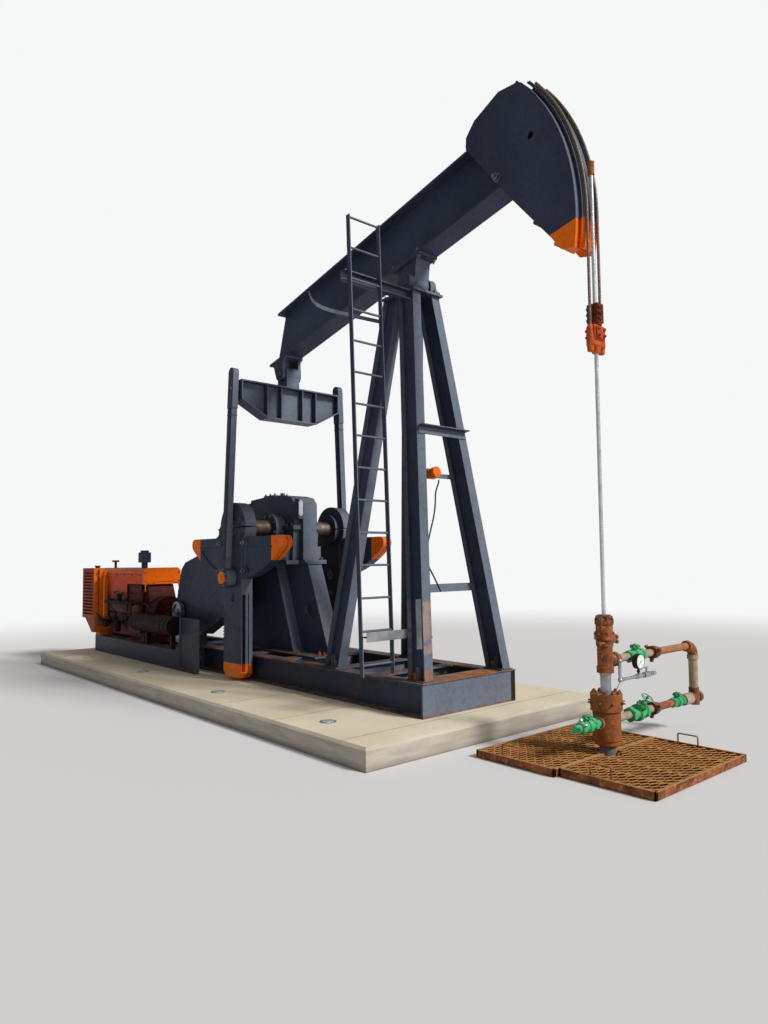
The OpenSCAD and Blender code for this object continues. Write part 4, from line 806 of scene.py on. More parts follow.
boss = [(-0.004, 0.030), (0.008, 0.030), (0.012, 0.024), (0.013, 0.004)]
bosses = [turned(boss, (CRANK_X, s * 0.961, WRIST_Z), s * FAR, sides=32) for s in SIDES]
piece("wrist_cap_bosses", bosses, pitman_paint, "pitman_frame")
cap_bolts = [copies(nut(0.026, stud=0.3), circle_of(8, 0.098, (CRANK_X, s * 0.94, WRIST_Z), s * FAR, 0.2), s * FAR)
             for s in SIDES]
piece("pitman_bolts", cap_bolts, nut_steel, "pitman_frame")

u, y = np.array([-1, 1, -1, 1]), np.array([-1, -1, 1, 1])
piece("beam_bolts", [
    copies(medium, on_beam(0.19 * u, 0.105 * y, 0.269), SQUARE),
    copies(medium, on_beam(0.19 * u, 0.105 * y, 0.22), -SQUARE),
    copies(medium, on_beam(-2.447 + 0.12 * u, 0.115 * y, 0.22), -SQUARE),
    copies(heavy, on_beam(1.326, -0.144, 0.347), NEAR),
    copies(heavy, on_beam(1.326, 0.144, 0.347), -NEAR)], nut_steel, "beam")

# %% [markdown]
# ## Wirelines
# The horsehead carries two wirelines that leave its curved face as a tangent and run straight down
# to the carrier. A wire rope is six strands laid round each other, so its outline is a circle with
# six soft lobes that turn as you go along it: the lobed tube above. The part on the head runs from
# its anchor on the beam to the tangent point, which stays where it is, so it gets shorter along the
# arc as the head goes down. The free part gets longer by as much: it is tied to the tangent point
# and to the carrier. Both blend from one body to the other.

# %% Ropes
LINE_Y, LINE_ARC, FREE_END_Z = 0.075, 2.11, 3.5


def wire_rope(path):
    return tube(path, 0.0125, sides=24, hint=FAR, lobes=6, lobe_depth=0.2, lay=0.16)


arc = np.linspace(np.radians(27.2), -TILT, 260)
on_head = [wire_rope(on_beam(LINE_ARC * np.cos(arc), y, LINE_ARC * np.sin(arc))) for y in (-LINE_Y, LINE_Y)]
ropes_up = piece("head_ropes", on_head, rope_finish, None, crease=80)
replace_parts(ropes_up, "head_lines")
anchor_x, anchor_z = LINE_ARC * np.cos(arc[0] + TILT), PIVOT_Z + LINE_ARC * np.sin(arc[0] + TILT)
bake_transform(ropes_up, "base", "beam", start=(LINE_ARC, 0, PIVOT_Z), end=(anchor_x, 0, anchor_z))

sweep = np.linspace(np.radians(30.0), np.radians(-20.8), 140)[:, None]
r, y = np.array([(2.0405, -0.1465), (2.048, -0.1465), (2.050, -0.1445),
                 (2.050, 0.1445), (2.048, 0.1465), (2.0405, 0.1465)]).T
face_plate = on_beam(r * np.cos(sweep), y, r * np.sin(sweep))
piece("head_face_plate", [skin(face_plate)], head_paint, "beam")

drop = np.linspace(4.4597, FREE_END_Z, 180)
falls = [wire_rope(np.column_stack([np.full_like(drop, WELL_X), np.full_like(drop, y), drop]))
         for y in (-LINE_Y, LINE_Y)]
ropes_down = piece("bridle_ropes", falls, rope_finish, None, crease=80)
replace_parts(ropes_down, "bridle_lines")
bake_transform(ropes_down, "base", "carrier", start=(LINE_ARC, 0, PIVOT_Z), end=(LINE_ARC, 0, FREE_END_Z))

# %% [markdown]
# ## The carrier
# The two wirelines end in sockets at the sides of the carrier, and the rod clamp rests on its top.
# It is a forging with a waist, so it is built from a middle block, two cheeks with bolts, a lower
# saddle and two lathe-shaped sockets that swell where the rope is wedged.

# %% Carrier
hanger = np.array([WELL_X, 0, 0])
carrier_parts = [block(hanger + [0, 0, 3.435], (0.084, 0.150, 0.128), 0.008),
                 block(hanger + [0, 0, 3.345], (0.076, 0.186, 0.060), 0.012),
                 block(hanger + [0, 0, 3.386], (0.060, 0.120, 0.05), 0.006),
                 turned([(0, 0.030), (0.01, 0.036), (0.05, 0.036), (0.06, 0.044)], hanger + [0, 0, 3.27], UP, 28)]
socket = [(0, 0.016), (0.006, 0.026), (0.07, 0.030), (0.10, 0.034), (0.13, 0.030), (0.19, 0.024), (0.222, 0.021),
          (0.229, 0.016)]
for s in SIDES:
    cheek_bolts = hanger + grid((0.052 * s,), (-0.038, 0.038), (3.408, 3.462))
    carrier_parts += [
        turned(socket, hanger + [0, 0.079 * s, 3.271], UP, 28),
        block(hanger + [0.048 * s, 0, 3.435], (0.012, 0.118, 0.096), 0.003),
        copies(nut(0.024, stud=0.3), cheek_bolts, s * FRONT),
        turned([(0, 0.011), (0.02, 0.011), (0.024, 0.006)], hanger + [0, 0.088 * s, 3.345], s * FAR, 12)]
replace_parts(piece("carrier_forging", carrier_parts, carrier_paint, "carrier"), "carrier_bar")
clamp_nuts = [copies(nut(0.024, stud=0.12, washer=False),
                     hanger + grid((0.050 * s,), (-0.026,), (3.55, 3.598, 3.646)), s * FRONT) for s in SIDES]
piece("clamp_nuts", clamp_nuts, clamp_paint, "carrier")
coupling = [(0, 0.0222), (0.002, 0.028), (0.112, 0.0285), (0.116, 0.024), (0.118, 0.012)]
piece("rod_coupling", [turned(coupling, hanger + [0, 0, 4.783], UP, 32)], rusty_iron, "carrier")

# %% [markdown]
# ## Valves and their hand wheels
# A gate valve has a round body that swells in the middle, two hexagon ends for the wrench, a bonnet
# with its gland and a wheel on a thin stem. The construction model has a plain disc for the wheel.
# Here each valve is built anew from lathe shapes, with a torus rim and four curved spokes, and
# stands for its node. Body and pipe run along Y, the bonnet points up or leans towards the well.

# %% Gate valves
def hand_wheel(centre, radius, rim):
    """Rim: a torus, p = centre + R (cos a, sin a, 0) thickened by rim. Four spokes dip towards the hub:
    z falls by 1.2 * rim * (1 - s)^2 from the rim in."""
    parts = [tube(circle(48, radius - rim, centre, FRONT, FAR), rim, sides=10, hint=UP, ring=True)]
    s = np.linspace(0.1, 1, 9)[:, None]
    for way in circle(4, 1.0, (0, 0, 0), FRONT, FAR, 0.35 * np.pi / 2):
        line = np.asarray(centre) + (radius - rim) * s * way - rim * 1.2 * (1 - s) ** 2 * UP
        parts.append(tube(line, rim * 0.72, sides=8, hint=UP))
    hub = [(-2.2 * rim, 0.2 * radius), (1.2 * rim, 0.2 * radius), (1.5 * rim, 0.12 * radius)]
    return parts + [turned(hub, centre, UP, 20),
                    copies(nut(0.3 * radius, washer=False, stud=0.3), np.asarray(centre) + 1.4 * rim * UP, UP)]


def lean_over(part, about, angle):
    """Turns a skin about a line along Y: (x, z) becomes (x cos a + z sin a, z cos a - x sin a)."""
    verts, quads, tris = part
    x, y, z = (verts - about).T
    c, s = np.cos(angle), np.sin(angle)
    return np.column_stack([x * c + z * s, y, z * c - x * s]) + about, quads, tris


def gate_valve(y0, y1, z, d, top, wheel, lean=0.0):
    """A valve from y0 to y1 with a body of size d. The wheel, of diameter wheel, is top above the pipe."""
    half, mid = (y1 - y0) / 2, np.array([WELL_X, (y0 + y1) / 2, z])
    body = [(-half + 0.04, 0.36 * d), (-0.28 * half, 0.40 * d), (-0.2 * half, 0.52 * d), (0, 0.55 * d),
            (0.2 * half, 0.52 * d), (0.28 * half, 0.40 * d), (half - 0.04, 0.36 * d)]
    hexagon = [(-0.001, 0.44 * d), (0.006, 0.5 * d), (0.034, 0.5 * d), (0.042, 0.44 * d), (0.0449, 0.36 * d)]
    parts = [turned(body, mid, FAR, 32)]
    parts += [turned(hexagon, mid + s * half * FAR, -s * FAR, 6, hint=FRONT) for s in SIDES]
    neck = [(0.2 * d, 0.30 * d), (0.52 * d, 0.27 * d), (0.56 * d, 0.36 * d), (0.66 * d, 0.36 * d),
            (0.70 * d, 0.24 * d), (0.72 * d, 0.17 * d), (min(top * 0.9, 0.95 * d), 0.15 * d)]
    above = [turned(neck, mid, UP),
             copies(nut(0.34 * d, washer=False, stud=0, high=0.5), mid + min(top * 0.82, 0.8 * d) * UP, UP),
             turned([(0.2 * d, 0.009), (top - 0.006, 0.009)], mid, UP, 12),
             copies(nut(0.018, stud=0.2), circle_of(6, 0.315 * d, mid + 0.655 * d * UP, UP), UP)]
    above += hand_wheel(mid + (top - 0.009) * UP, wheel / 2, max(0.004, wheel * 0.045))
    return parts + [lean_over(part, mid, np.radians(lean)) for part in above]


valve_sizes = {
    "flow_valve": (0.335, 0.575, 0.775, 0.106, 0.095, 0.076),
    "casing_valve": (0.335, 0.585, 0.300, 0.130, 0.175, 0.105, 35),
    "small_valve": (1.040, 1.240, 0.300, 0.090, 0.085, 0.060),
    "blind_valve": (-0.368, -0.165, 0.300, 0.100, 0.090, 0.060),
}
for node, sizes in valve_sizes.items():
    parts = gate_valve(*sizes)
    if node == "blind_valve":
        plug = [(0, 0.027), (0.004, 0.031), (0.05, 0.031), (0.073, 0.030)]
        parts += [turned([(0, 0.030), (0.053, 0.030)], (WELL_X, -0.171, 0.30), FAR),
                  turned(plug, (WELL_X, -0.44, 0.30), FAR, 8)]
    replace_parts(piece(node + "_body", parts, green_paint, "base"), node)

# %% [markdown]
# ## The pressure gauge
# A gauge is a short can on a threaded stem, with a white dial under glass. The figures on a real
# dial would be too small to read, so it gets plain tick marks: long at every fifth, short between,
# over three quarters of a turn, and a black needle. The dial looks along the well line towards +X.

# %% Pressure gauge
GAUGE = np.array([WELL_X + 0.090, 0.342, 0.745])
can = [(-0.024, 0.058), (-0.020, 0.062), (0.016, 0.062), (0.018, 0.065), (0.0225, 0.065), (0.0238, 0.062),
       (0.0239, 0.057)]
case = [turned(can, GAUGE, FRONT, 56), turned([(0, 0.009), (0.05, 0.009)], GAUGE - 0.1 * UP, UP, 12),
        copies(nut(0.026, washer=False, stud=0), GAUGE - 0.086 * UP, UP)]
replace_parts(piece("gauge_case", case, dial_black, "base"), "pressure_gauge")
dial = turned([(0.0238, 0.0560), (0.0241, 0.0560), (0.0242, 0.055)], GAUGE, FRONT, 56)
piece("gauge_dial", [dial], dial_white, "base")
marks = []
for k in range(26):
    a = np.radians(225 - 270 * k / 25)
    way = np.array([0, np.cos(a), np.sin(a)])
    inner, half = (0.042, 0.0014) if k % 5 == 0 else (0.047, 0.0008)
    turn = np.column_stack([FRONT, way, np.cross(FRONT, way)])
    marks.append(block(GAUGE + 0.0243 * FRONT + way * (inner + 0.052) / 2,
                       (0.0004, 0.052 - inner, 2 * half), 0.0001, turn))
needle_way = np.array([0, np.cos(3.9), np.sin(3.9)])
marks += [tube(GAUGE + 0.0245 * FRONT + needle_way * np.linspace(-0.014, 0.042, 6)[:, None],
               [0.0020, 0.0020, 0.0017, 0.0014, 0.001, 0.0005], sides=6, hint=FRONT),
          turned([(0.024, 0.005), (0.0262, 0.005), (0.0266, 0.003)], GAUGE, FRONT, 16)]
piece("gauge_marks", marks, dial_black, "base")

# %% [markdown]
# ## Wellhead fasteners and fittings
# The flanges of the casing head and the stuffing box are drawn together by rings of studs. The
# stuffing box also has a T handle on its gland and a short lever below. The unions in the rusty
# pipes have three lugs each, for the hammer that tightens them.

# %% Wellhead studs, handle and lugs
lock_way = circle_of(8, 1.0, (0, 0, 0), UP, 0.25)
studs = [copies(nut(0.027, stud=0.3), circle_of(10, 0.104, hanger + 0.520 * UP, UP, 0.13), UP),
         copies(nut(0.022, stud=0.9), circle_of(6, 0.062, hanger + 1.100 * UP, UP, 0.3), UP),
         copies(nut(0.020), circle_of(6, 0.0715, hanger + 0.985 * UP, UP, 0.3), UP),
         copies(nut(0.022, stud=0.8), hanger + 0.452 * UP + 0.1225 * lock_way, lock_way)]
piece("wellhead_studs", studs, bolt_rust, "base")

arm = [(0, 0.010), (0.062, 0.010), (0.068, 0.007)]
gland_bolt = [(0, 0.012), (0.035, 0.012), (0.036, 0.019), (0.052, 0.019), (0.056, 0.015)]
handle = [turned(arm, hanger + [0.03, -0.055, z], (0.25, -0.96, 0), 12) for z in (1.045, 1.105)]
handle += [tube(hanging(hanger + [0.046, -0.115, 1.020], 0.115 * UP, 0, 6), 0.009, hint=FRONT),
           tube(hanging(hanger + [0.035, -0.055, 0.922], [0.03, -0.115, 0.006], 0, 6), 0.009, hint=(1, 0, 0.1)),
           block(hanger + [0.068, -0.175, 0.928], (0.016, 0.030, 0.030), 0.004)]
handle += [turned(gland_bolt, hanger + [0.035, 0.052, z], (0.35, 0.94, 0), 6) for z in (0.925, 0.962)]
UNION_R = 0.068
for centre in (np.array([WELL_X, 0.740, 0.775]), np.array([WELL_X, 0.7125, 0.30])):
    for place in circle_of(3, UNION_R, centre, FAR, 0.5):
        way = (place - centre) / UNION_R
        turn = np.column_stack([way, FAR, np.cross(way, FAR)])
        handle.append(block(place, (0.032, 0.034, 0.026), 0.004, turn))
piece("gland_handle_and_lugs", handle, bolt_rust, "base")

bleed = np.array([WELL_X + 0.090, 0, 0.625])
cock = [(0, 0.009), (0.03, 0.009), (0.034, 0.014), (0.052, 0.014), (0.056, 0.006)]
fittings = [turned([(0.018, 0.008), (0.055, 0.008), (0.056, 0.005)], bleed + 0.467 * FAR, UP, 10),
            tube(hanging(bleed + [0, 0.440, 0.058], 0.054 * FAR, 0, 6), 0.005, hint=UP),
            copies(nut(0.030, washer=False, stud=0), bleed + grid((0,), (0.10, 0.285, 0.395, 0.535), (0,)), FAR),
            turned([(0, 0.013), (0.02, 0.013), (0.024, 0.007)], bleed + 0.588 * FAR, FAR, 10),
            tube(hanging(bleed + [0, 0.06, -0.01], [-0.06, -0.005, -0.095], [0.02, -0.02, 0], 30), 0.004,
                 sides=8, hint=(0, 1, 0.2))]
fittings += [turned(cock, (WELL_X + x, -0.405, z), (0.7, -0.2, 0.7), 8) for x, z in ((0.008, 0.345), (0.05, 0.315))]
piece("needle_valve_and_cocks", fittings, zinc, "base")

# %% [markdown]
# ## The cellar covers
# Two framed sheets of expanded metal lie over the pit round the well. Expanded metal is a plate that
# has been slit and pulled, so its strands run in zigzags that touch at the knuckles. Each strand is
# the zigzag x = pitch * row + amp * saw(y), and every other row is mirrored, which closes the
# diamonds. A pattern painted on a flat plate wouldn't let the dark of the pit show through. Strands
# and bars stop short of the casing, inside which the rod comes down.

# %% Expanded metal covers
LONG_WAY, SHORT_WAY, STRAND_Z, HOLE_R = 0.098, 0.0405, 0.049, 0.078


def bar(xs, ys, z, high):
    """A flat bar between two x and two y."""
    return block((sum(xs) / 2, sum(ys) / 2, z), (xs[1] - xs[0], ys[1] - ys[0], high))


def cover(name, x0, x1, y0, y1):
    """Zigzag strands as flat tubes, rim bars, cross bars, two round handles, and below them a dark brown
    sheet: painted shade that stands for the dark of the pit.
    """
    parts = []
    ys = np.arange(y0 + 0.012, y1 - 0.012, LONG_WAY / 2)
    for k in range(int((x1 - x0 - 0.02) / SHORT_WAY)):
        x = x0 + 0.016 + SHORT_WAY * (k + 0.5)
        saw = np.where(np.arange(len(ys)) % 2 == 0, 1.0, -1.0) * (1 if k % 2 else -1)
        line = np.column_stack([np.clip(x + 0.0195 * saw, x0 + 0.012, x1 - 0.012), ys, STRAND_Z + 0.003 * saw])
        clear = np.linalg.norm(line[:, :2] - [WELL_X, 0], axis=1) > HOLE_R
        for stretch in np.split(np.arange(len(ys)), np.flatnonzero(np.diff(clear.astype(int))) + 1):
            if len(stretch) > 1 and clear[stretch[0]]:
                parts.append(tube(line[stretch], 0.0066, sides=4, hint=UP))
    rear, front = (x0, x0 + 0.020), (x1 - 0.020, x1)
    whole, split = (rear, front) if x1 < WELL_X else (front, rear)
    parts += [bar(whole, (y0, y1), 0.031, 0.058), bar(split, (y0, -0.072), 0.031, 0.058),
              bar(split, (0.072, y1), 0.031, 0.058), bar((x0, x1), (y0, y0 + 0.020), 0.031, 0.058),
              bar((x0, x1), (y1 - 0.020, y1), 0.031, 0.058)]
    parts += [bar((x0 + 0.015, x1 - 0.015), (y - 0.015, y + 0.015), 0.024, 0.044)
              for y in np.linspace(y0, y1, 6)[1:-1] if abs(y) > 0.09]
    t = np.linspace(0, 1, 40)
    across = x0 + 0.42 * (x1 - x0) - 0.084 + 0.168 * np.clip(1.8 * t - 0.4, 0, 1)
    height = 0.050 + 0.089 * np.clip(np.minimum(t, 1 - t) / 0.24, 0, 1)
    parts += [tube(np.column_stack([across, np.full_like(t, y), height]), 0.0062, sides=10, hint=FAR)
              for y in (y0 + 0.046, y1 - 0.046)]
    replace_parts(piece(name + "_mesh", parts, grate_rust, "base"), name)
    # Painted shade: a dark brown sheet under the cover stands for the dark of the pit below it.
    bed = bar((x0 + 0.015, x1 - 0.015), (y0 + 0.015, y1 - 0.015), 0.006, 0.008)
    piece(name + "_pit_shade", [bed], pit_painted_shade, "base")


cover("cellar_cover_rear", 1.350, WELL_X - 0.0005, -0.705, 0.715)
cover("cellar_cover_front", WELL_X + 0.0005, 2.880, -0.655, 0.716)

# %% [markdown]
# ## Welds
# A weld bead is a thin half round with ripples, one for each time the welder paused. As a tube its
# radius is r (1 + 0.16 sin(2 pi s / pitch)), with s the length along the seam. Half of it is sunk
# in the corner. They run where the post's feet meet their plates and down the end plate's corners.

# %% Weld beads
def weld(start, end, radius=0.006, pitch=0.011):
    """Samples the seam three times a ripple and lets the radius breathe along it."""
    s = lengths([start, end])
    t = np.arange(0, s[-1], pitch / 3)
    ripple = radius * (1 + 0.16 * np.sin(2 * np.pi * t / pitch))
    return tube(read_at(t, s, [start, end]), ripple, sides=6, hint=(0.21, 0.35, 0.91))


seams = []
for x in (0.54, -0.74):
    for y in (-0.54, 0.54):
        for s in SIDES:
            seams.append(weld((x - 0.115, y + s * 0.0555, 0.502), (x + 0.115, y + s * 0.0555, 0.502)))
            seams.append(weld((x + s * 0.118, y - 0.055, 0.502), (x + s * 0.118, y + 0.055, 0.502)))
seams += [weld((0.66, s * 0.643, 0.19), (0.66, s * 0.643, 0.478)) for s in SIDES]
piece("weld_beads", seams, foot_paint, "base", crease=80)

# %% [markdown]
# ## The engine's small parts
# Under its hood the engine is a crowd of pipes, cans and leads, all soaked in old oil. On the near
# side sit an intake pipe with four branches, four plugs with rubber leads, a magneto, a starter and
# a filter. Lathe shapes and short tubes are enough for all of them. The radiator's slots get tilted
# blades, and the grille at its back gets thin upright fins.

# %% Hood and radiator
HOOD_Y, COVER_Y = -0.90, -0.88
slant = np.radians(38)
tilted = [[1, 0, 0], [0, np.cos(slant), np.sin(slant)], [0, -np.sin(slant), np.cos(slant)]]
# The blades are painted a darker red: painted shade for the slots.
blades = [block((-6.70, -1.021, 0.774 + 0.05 * k), (0.436, 0.030, 0.004), 0.001, tilted) for k in range(14)]
piece("louvre_blades", blades, louvre_shade_red, "base")
flanges = [block((-6.205, HOOD_Y - 0.026, 1.10), (0.05, 0.056, 0.72), 0.004),
           block((-5.55, HOOD_Y - 0.006, 1.44), (1.40, 0.012, 0.03), 0.003)]
piece("hood_flanges", flanges, orange_paint, "base")
fins = [block((-6.924, y, 1.10), (0.022, 0.004, 0.676), 0.0005) for y in np.linspace(-0.965, -0.275, 44)]
fins += [block((-6.9135, -0.62, z), (0.006, 0.70, 0.012), 0.001) for z in np.linspace(0.80, 1.40, 7)]
piece("radiator_core", fins, oily_iron, "base")
hood_bolts = [
    copies(nut(0.020, stud=0), grid(np.linspace(-6.10, -4.95, 5), (HOOD_Y,), (1.405,)), NEAR),
    copies(nut(0.020, stud=0), grid((-4.79,), (-0.875, -0.365), (1.18, 1.32, 1.44)), FRONT),
    copies(nut(0.018, stud=0), grid((-6.43,), (-0.99, -0.24), np.linspace(0.78, 1.42, 5)), FRONT)]
piece("hood_bolts", hood_bolts, nut_steel, "base")

# %% Pipes, cans and leads on the engine
intake = [(-6.10, -0.962, 0.985), (-5.9, -0.965, 0.990), (-5.2, -0.965, 0.990), (-5.02, -0.962, 0.985)]
fuel_pipe = [(-5.62, -0.96, 0.725), (-5.60, -0.985, 0.80), (-5.70, -0.985, 0.88), (-5.86, -0.965, 0.90)]
drain_pipe = [(-6.00, -0.93, 0.50), (-5.8, -0.965, 0.47), (-5.3, -0.965, 0.47), (-5.0, -0.96, 0.50),
              (-4.90, -0.95, 0.56)]
magneto = [(0, 0.058), (0.06, 0.058), (0.065, 0.05), (0.17, 0.05), (0.175, 0.03), (0.21, 0.03)]
starter = [(0, 0.060), (0.22, 0.060), (0.225, 0.045), (0.29, 0.045), (0.292, 0.02), (0.33, 0.02)]
oil_filter = [(0, 0.030), (0.012, 0.046), (0.15, 0.046), (0.165, 0.03), (0.17, 0.012)]
carburettor = [(0, 0.034), (0.09, 0.034), (0.10, 0.045), (0.13, 0.045), (0.135, 0.02)]
parts = [tube(intake, 0.026), turned(magneto, (-5.30, -0.975, 0.79), FRONT),
         turned(starter, (-6.28, -0.965, 0.655), FRONT), turned(oil_filter, (-5.62, -0.955, 0.55), UP),
         turned(carburettor, (-5.55, -0.955, 0.985), UP, 20),
         tube(fuel_pipe, 0.008, sides=10), tube(drain_pipe, 0.011, sides=10)]
leads = []
for k, x in enumerate(-6.085 + 0.33 * np.arange(4)):
    branch = [(x + 0.10, -0.962, 0.990), (x + 0.10, -0.945, 1.0), (x + 0.10, -0.895, 1.0)]
    parts += [tube(branch, 0.021), block((x + 0.10, COVER_Y - 0.022, 1.0), (0.10, 0.012, 0.058), 0.003),
              copies(nut(0.016), grid((x + 0.06, x + 0.14), (COVER_Y - 0.028,), (1.0,)), NEAR),
              block((x + 0.105, COVER_Y - 0.010, 0.74), (0.215, 0.024, 0.17), 0.008),
              copies(nut(0.016), grid((x + 0.02, x + 0.19), (COVER_Y - 0.022,), (0.74,)), NEAR)]
    start, end = np.array([x + 0.22, -0.925, 1.135]), np.array([-5.24 + 0.03 * k, -0.985, 0.845])
    bow = [0, -0.035, 0.05 + 0.012 * k]
    leads += [turned([(0, 0.012), (0.02, 0.012), (0.022, 0.007), (0.05, 0.007)], start + 0.035 * FAR, NEAR, 10),
              tube(hanging(start, end - start, bow, 22, power=0.8), 0.005, sides=8, hint=(0.1, 1, 0.2))]
leads += [tube(hanging([-4.90, -0.80, 0.92], [0.28, -0.10, -0.05], [0, 0, 0.08], 30), 0.013, 12, (0.1, 1, 0.2)),
          tube(hanging([-6.42, -0.955, 0.76], [0.38, 0.01, -0.10], [0, -0.02, -0.05], 30), 0.022, 14, (0.1, 1, 0.2))]
piece("engine_side_parts", parts, oily_iron, "base")
piece("leads_and_hoses", leads, black_rubber, "base")

# %% [markdown]
# ## The starting tank and the belt guard's edge
# The air tank is a rolled cylinder with a weld round each end, two straps and a drain below. The
# guard's two faces are screwed to its rim, so screws follow its outline. Their places come from
# walking along that outline in equal steps, a little inside the edge.

# %% Tank and guard
def walk(points, gap):
    """Equal steps along a closed outline, each moved 22 mm towards the middle."""
    loop = np.vstack([points, points[:1]])
    s = lengths(loop)
    spots = read_at(np.arange(0, s[-1], s[-1] / round(s[-1] / gap)) + 0.02, s, loop)
    inward = points.mean(axis=0) - spots
    return spots + 0.022 * inward / np.linalg.norm(inward, axis=1, keepdims=True)


guard_edge = np.array([
    [-4.05, 0.70], [-4.30, 0.86], [-4.33, 1.08], [-4.204, 1.473], [-4.086, 1.579], [-3.669, 1.681],
    [-3.131, 1.923], [-3.114, 2.009], [-3.026, 2.109], [-2.92, 2.145], [-2.76, 2.11], [-2.69, 1.99],
    [-2.69, 1.02], [-2.99, 0.89], [-3.582, 0.62], [-3.729, 0.613]])
spots = walk(guard_edge, 0.20)
spots = spots[np.linalg.norm(spots - [-4.175, 0.90], axis=1) > 0.16]
rim_screws = [copies(nut(0.017, stud=0.3), np.insert(spots, 1, y, axis=1), aim)
              for y, aim in ((-0.610, NEAR), (-0.440, -NEAR))]
piece("guard_screws", rim_screws, nut_steel, "base")

tank = np.array([0, -0.955, 0.75])
air_pipe = [(-4.52, -0.955, 0.93), (-4.52, -0.955, 0.96), (-4.60, -0.94, 1.0), (-4.78, -0.90, 1.0),
            (-4.90, -0.87, 0.98)]
tank_parts = [tube(circle(64, 0.1255, tank + x * FRONT, FAR, UP), 0.0035, sides=8, hint=FRONT, ring=True)
              for x in (-4.79, -3.73)]
tank_parts += [turned([(-0.02, 0.1285), (0.02, 0.1285)], tank + x * FRONT, FRONT, 64) for x in (-4.675, -3.875)]
drain = [(-0.01, 0.016), (0.035, 0.016), (0.037, 0.010), (0.06, 0.010)]
outlet = [(-0.01, 0.020), (0.03, 0.020), (0.032, 0.012), (0.07, 0.012)]
tank_parts += [turned(drain, tank + [-4.3, 0, -0.12], -UP, 8), turned(outlet, tank + [-4.52, 0, 0.12], UP, 8),
               tube(air_pipe, 0.009, sides=10)]
piece("tank_fittings", tank_parts, oily_iron, "base")

# %% [markdown]
# ## Lamps, switch and loose ends
# Four round lamps are let into the slab, each a steel ring with screws round a shallow glass. A
# round switch hangs on the upper brace with its cable drooping down the leg. A curved flat bar
# reaches round the back of the ladder, a lifting eye stands on the horsehead, and a blank plate is
# screwed to the reducer. These are small, but a machine without them looks like a toy.

# %% Lamps and switch cable
lamps = [(x, -1.30, 0.182) for x in (0.15, -1.85, -3.85, -5.85)]
lens = [turned([(0.001, 0.056), (0.006, 0.052), (0.0095, 0.030), (0.0105, 0.002)], lamp, UP, 40) for lamp in lamps]
piece("lamp_glasses", lens, lamp_glass, "base")
tiny = nut(0.010, washer=False, stud=0, high=0.5)
lamp_screws = [copies(tiny, circle_of(4, 0.066, (x, y, z + 0.002), UP, 0.6), UP) for x, y, z in lamps]
piece("lamp_screws", lamp_screws, nut_steel, "base")

cable = np.array([
    (0.325, -0.045, 2.39), (0.33, -0.06, 2.34), (0.33, -0.105, 2.26), (0.335, -0.11, 2.16), (0.345, -0.135, 2.05),
    (0.352, -0.18, 1.93), (0.37, -0.245, 1.80), (0.395, -0.295, 1.68), (0.43, -0.345, 1.58), (0.465, -0.325, 1.50),
    (0.47, -0.295, 1.45), (0.472, -0.262, 1.40), (0.474, -0.228, 1.34), (0.476, -0.193, 1.28)])
dense = read_at(np.linspace(0, len(cable) - 1, 90), np.arange(len(cable)), cable)
kernel = np.hanning(15) / np.hanning(15).sum()
smooth = np.column_stack([np.convolve(np.pad(axis, 7, mode="edge"), kernel, mode="valid") for axis in dense.T])
wires = [tube(smooth, 0.008, sides=10, hint=(1, 0.2, 0)),
         tube(hanging([0.185, -0.17, 4.375], [0.02, 0.14, -0.11], [0.05, 0, -0.03], 40), 0.004, sides=8, hint=UP)]
piece("switch_cable_and_wire", wires, black_rubber, "base")

# %% Post and ladder
LEG_RISE = 4.335 - 0.50
lean, splay = np.arctan2(0.54 - 0.02, LEG_RISE), np.arctan2(0.54 - 0.133, LEG_RISE)
leg_turn = (np.array([[np.cos(lean), 0, -np.sin(lean)], [0, 1, 0], [np.sin(lean), 0, np.cos(lean)]])
            @ np.array([[1, 0, 0], [0, np.cos(splay), np.sin(splay)], [0, -np.sin(splay), np.cos(splay)]]))
strip = [block((0.486, -0.499, 1.0), (0.075, 0.006, 0.46), 0.001, leg_turn),
         block((0.381, -0.745, 0.9095), (0.010, 0.590, 0.085))]
piece("step_rail_and_strip", strip, zinc, "base")
# The two holes in the leg's flange are black discs on its face: painted shade standing for the dark inside the
# holes.
holes = [turned([(0, 0.012), (0.001, 0.012), (0.0015, 0.010)], (0.5735, y, 0.882), leg_turn @ FRONT, 20)
         for y in (-0.470, -0.425)]
piece("leg_holes", holes, black_rubber, "base")

bends = np.array([(-0.16, -1.27, 4.13), (-0.225, -1.198, 4.105), (-0.30, -1.09, 4.10), (-0.338, -0.984, 4.10),
                  (-0.352, -0.88, 4.10), (-0.35, -0.76, 4.10), (-0.335, -0.60, 4.10), (-0.32, -0.42, 4.10),
                  (-0.30, -0.24, 4.10)])
hoop = read_at(np.linspace(0, len(bends) - 1, 60), np.arange(len(bends)), bends)
step = np.gradient(hoop, axis=0)
out = np.cross(step / np.linalg.norm(step, axis=1, keepdims=True), UP)
flat_bar = np.array([[0.003, -0.02], [0.003, 0.02], [-0.003, 0.02], [-0.003, -0.02]])
hoop_rows = hoop[:, None] + flat_bar[None, :, :1] * out[:, None] + flat_bar[None, :, 1:] * UP
piece("ladder_hoop", [skin(hoop_rows)], dark_paint, "base")

# %% Lifting eye and the reducer's plate
eye_at = on_beam(1.515, 0, 1.058) + 0.012 * UP
eye = [tube(circle(36, 0.022, eye_at, FRONT, UP), 0.006, sides=10, hint=FAR, ring=True),
       turned([(-0.05, 0.012), (-0.02, 0.012), (-0.018, 0.007)], eye_at, UP, 12)]
piece("lifting_eye", eye, nut_steel, "beam")

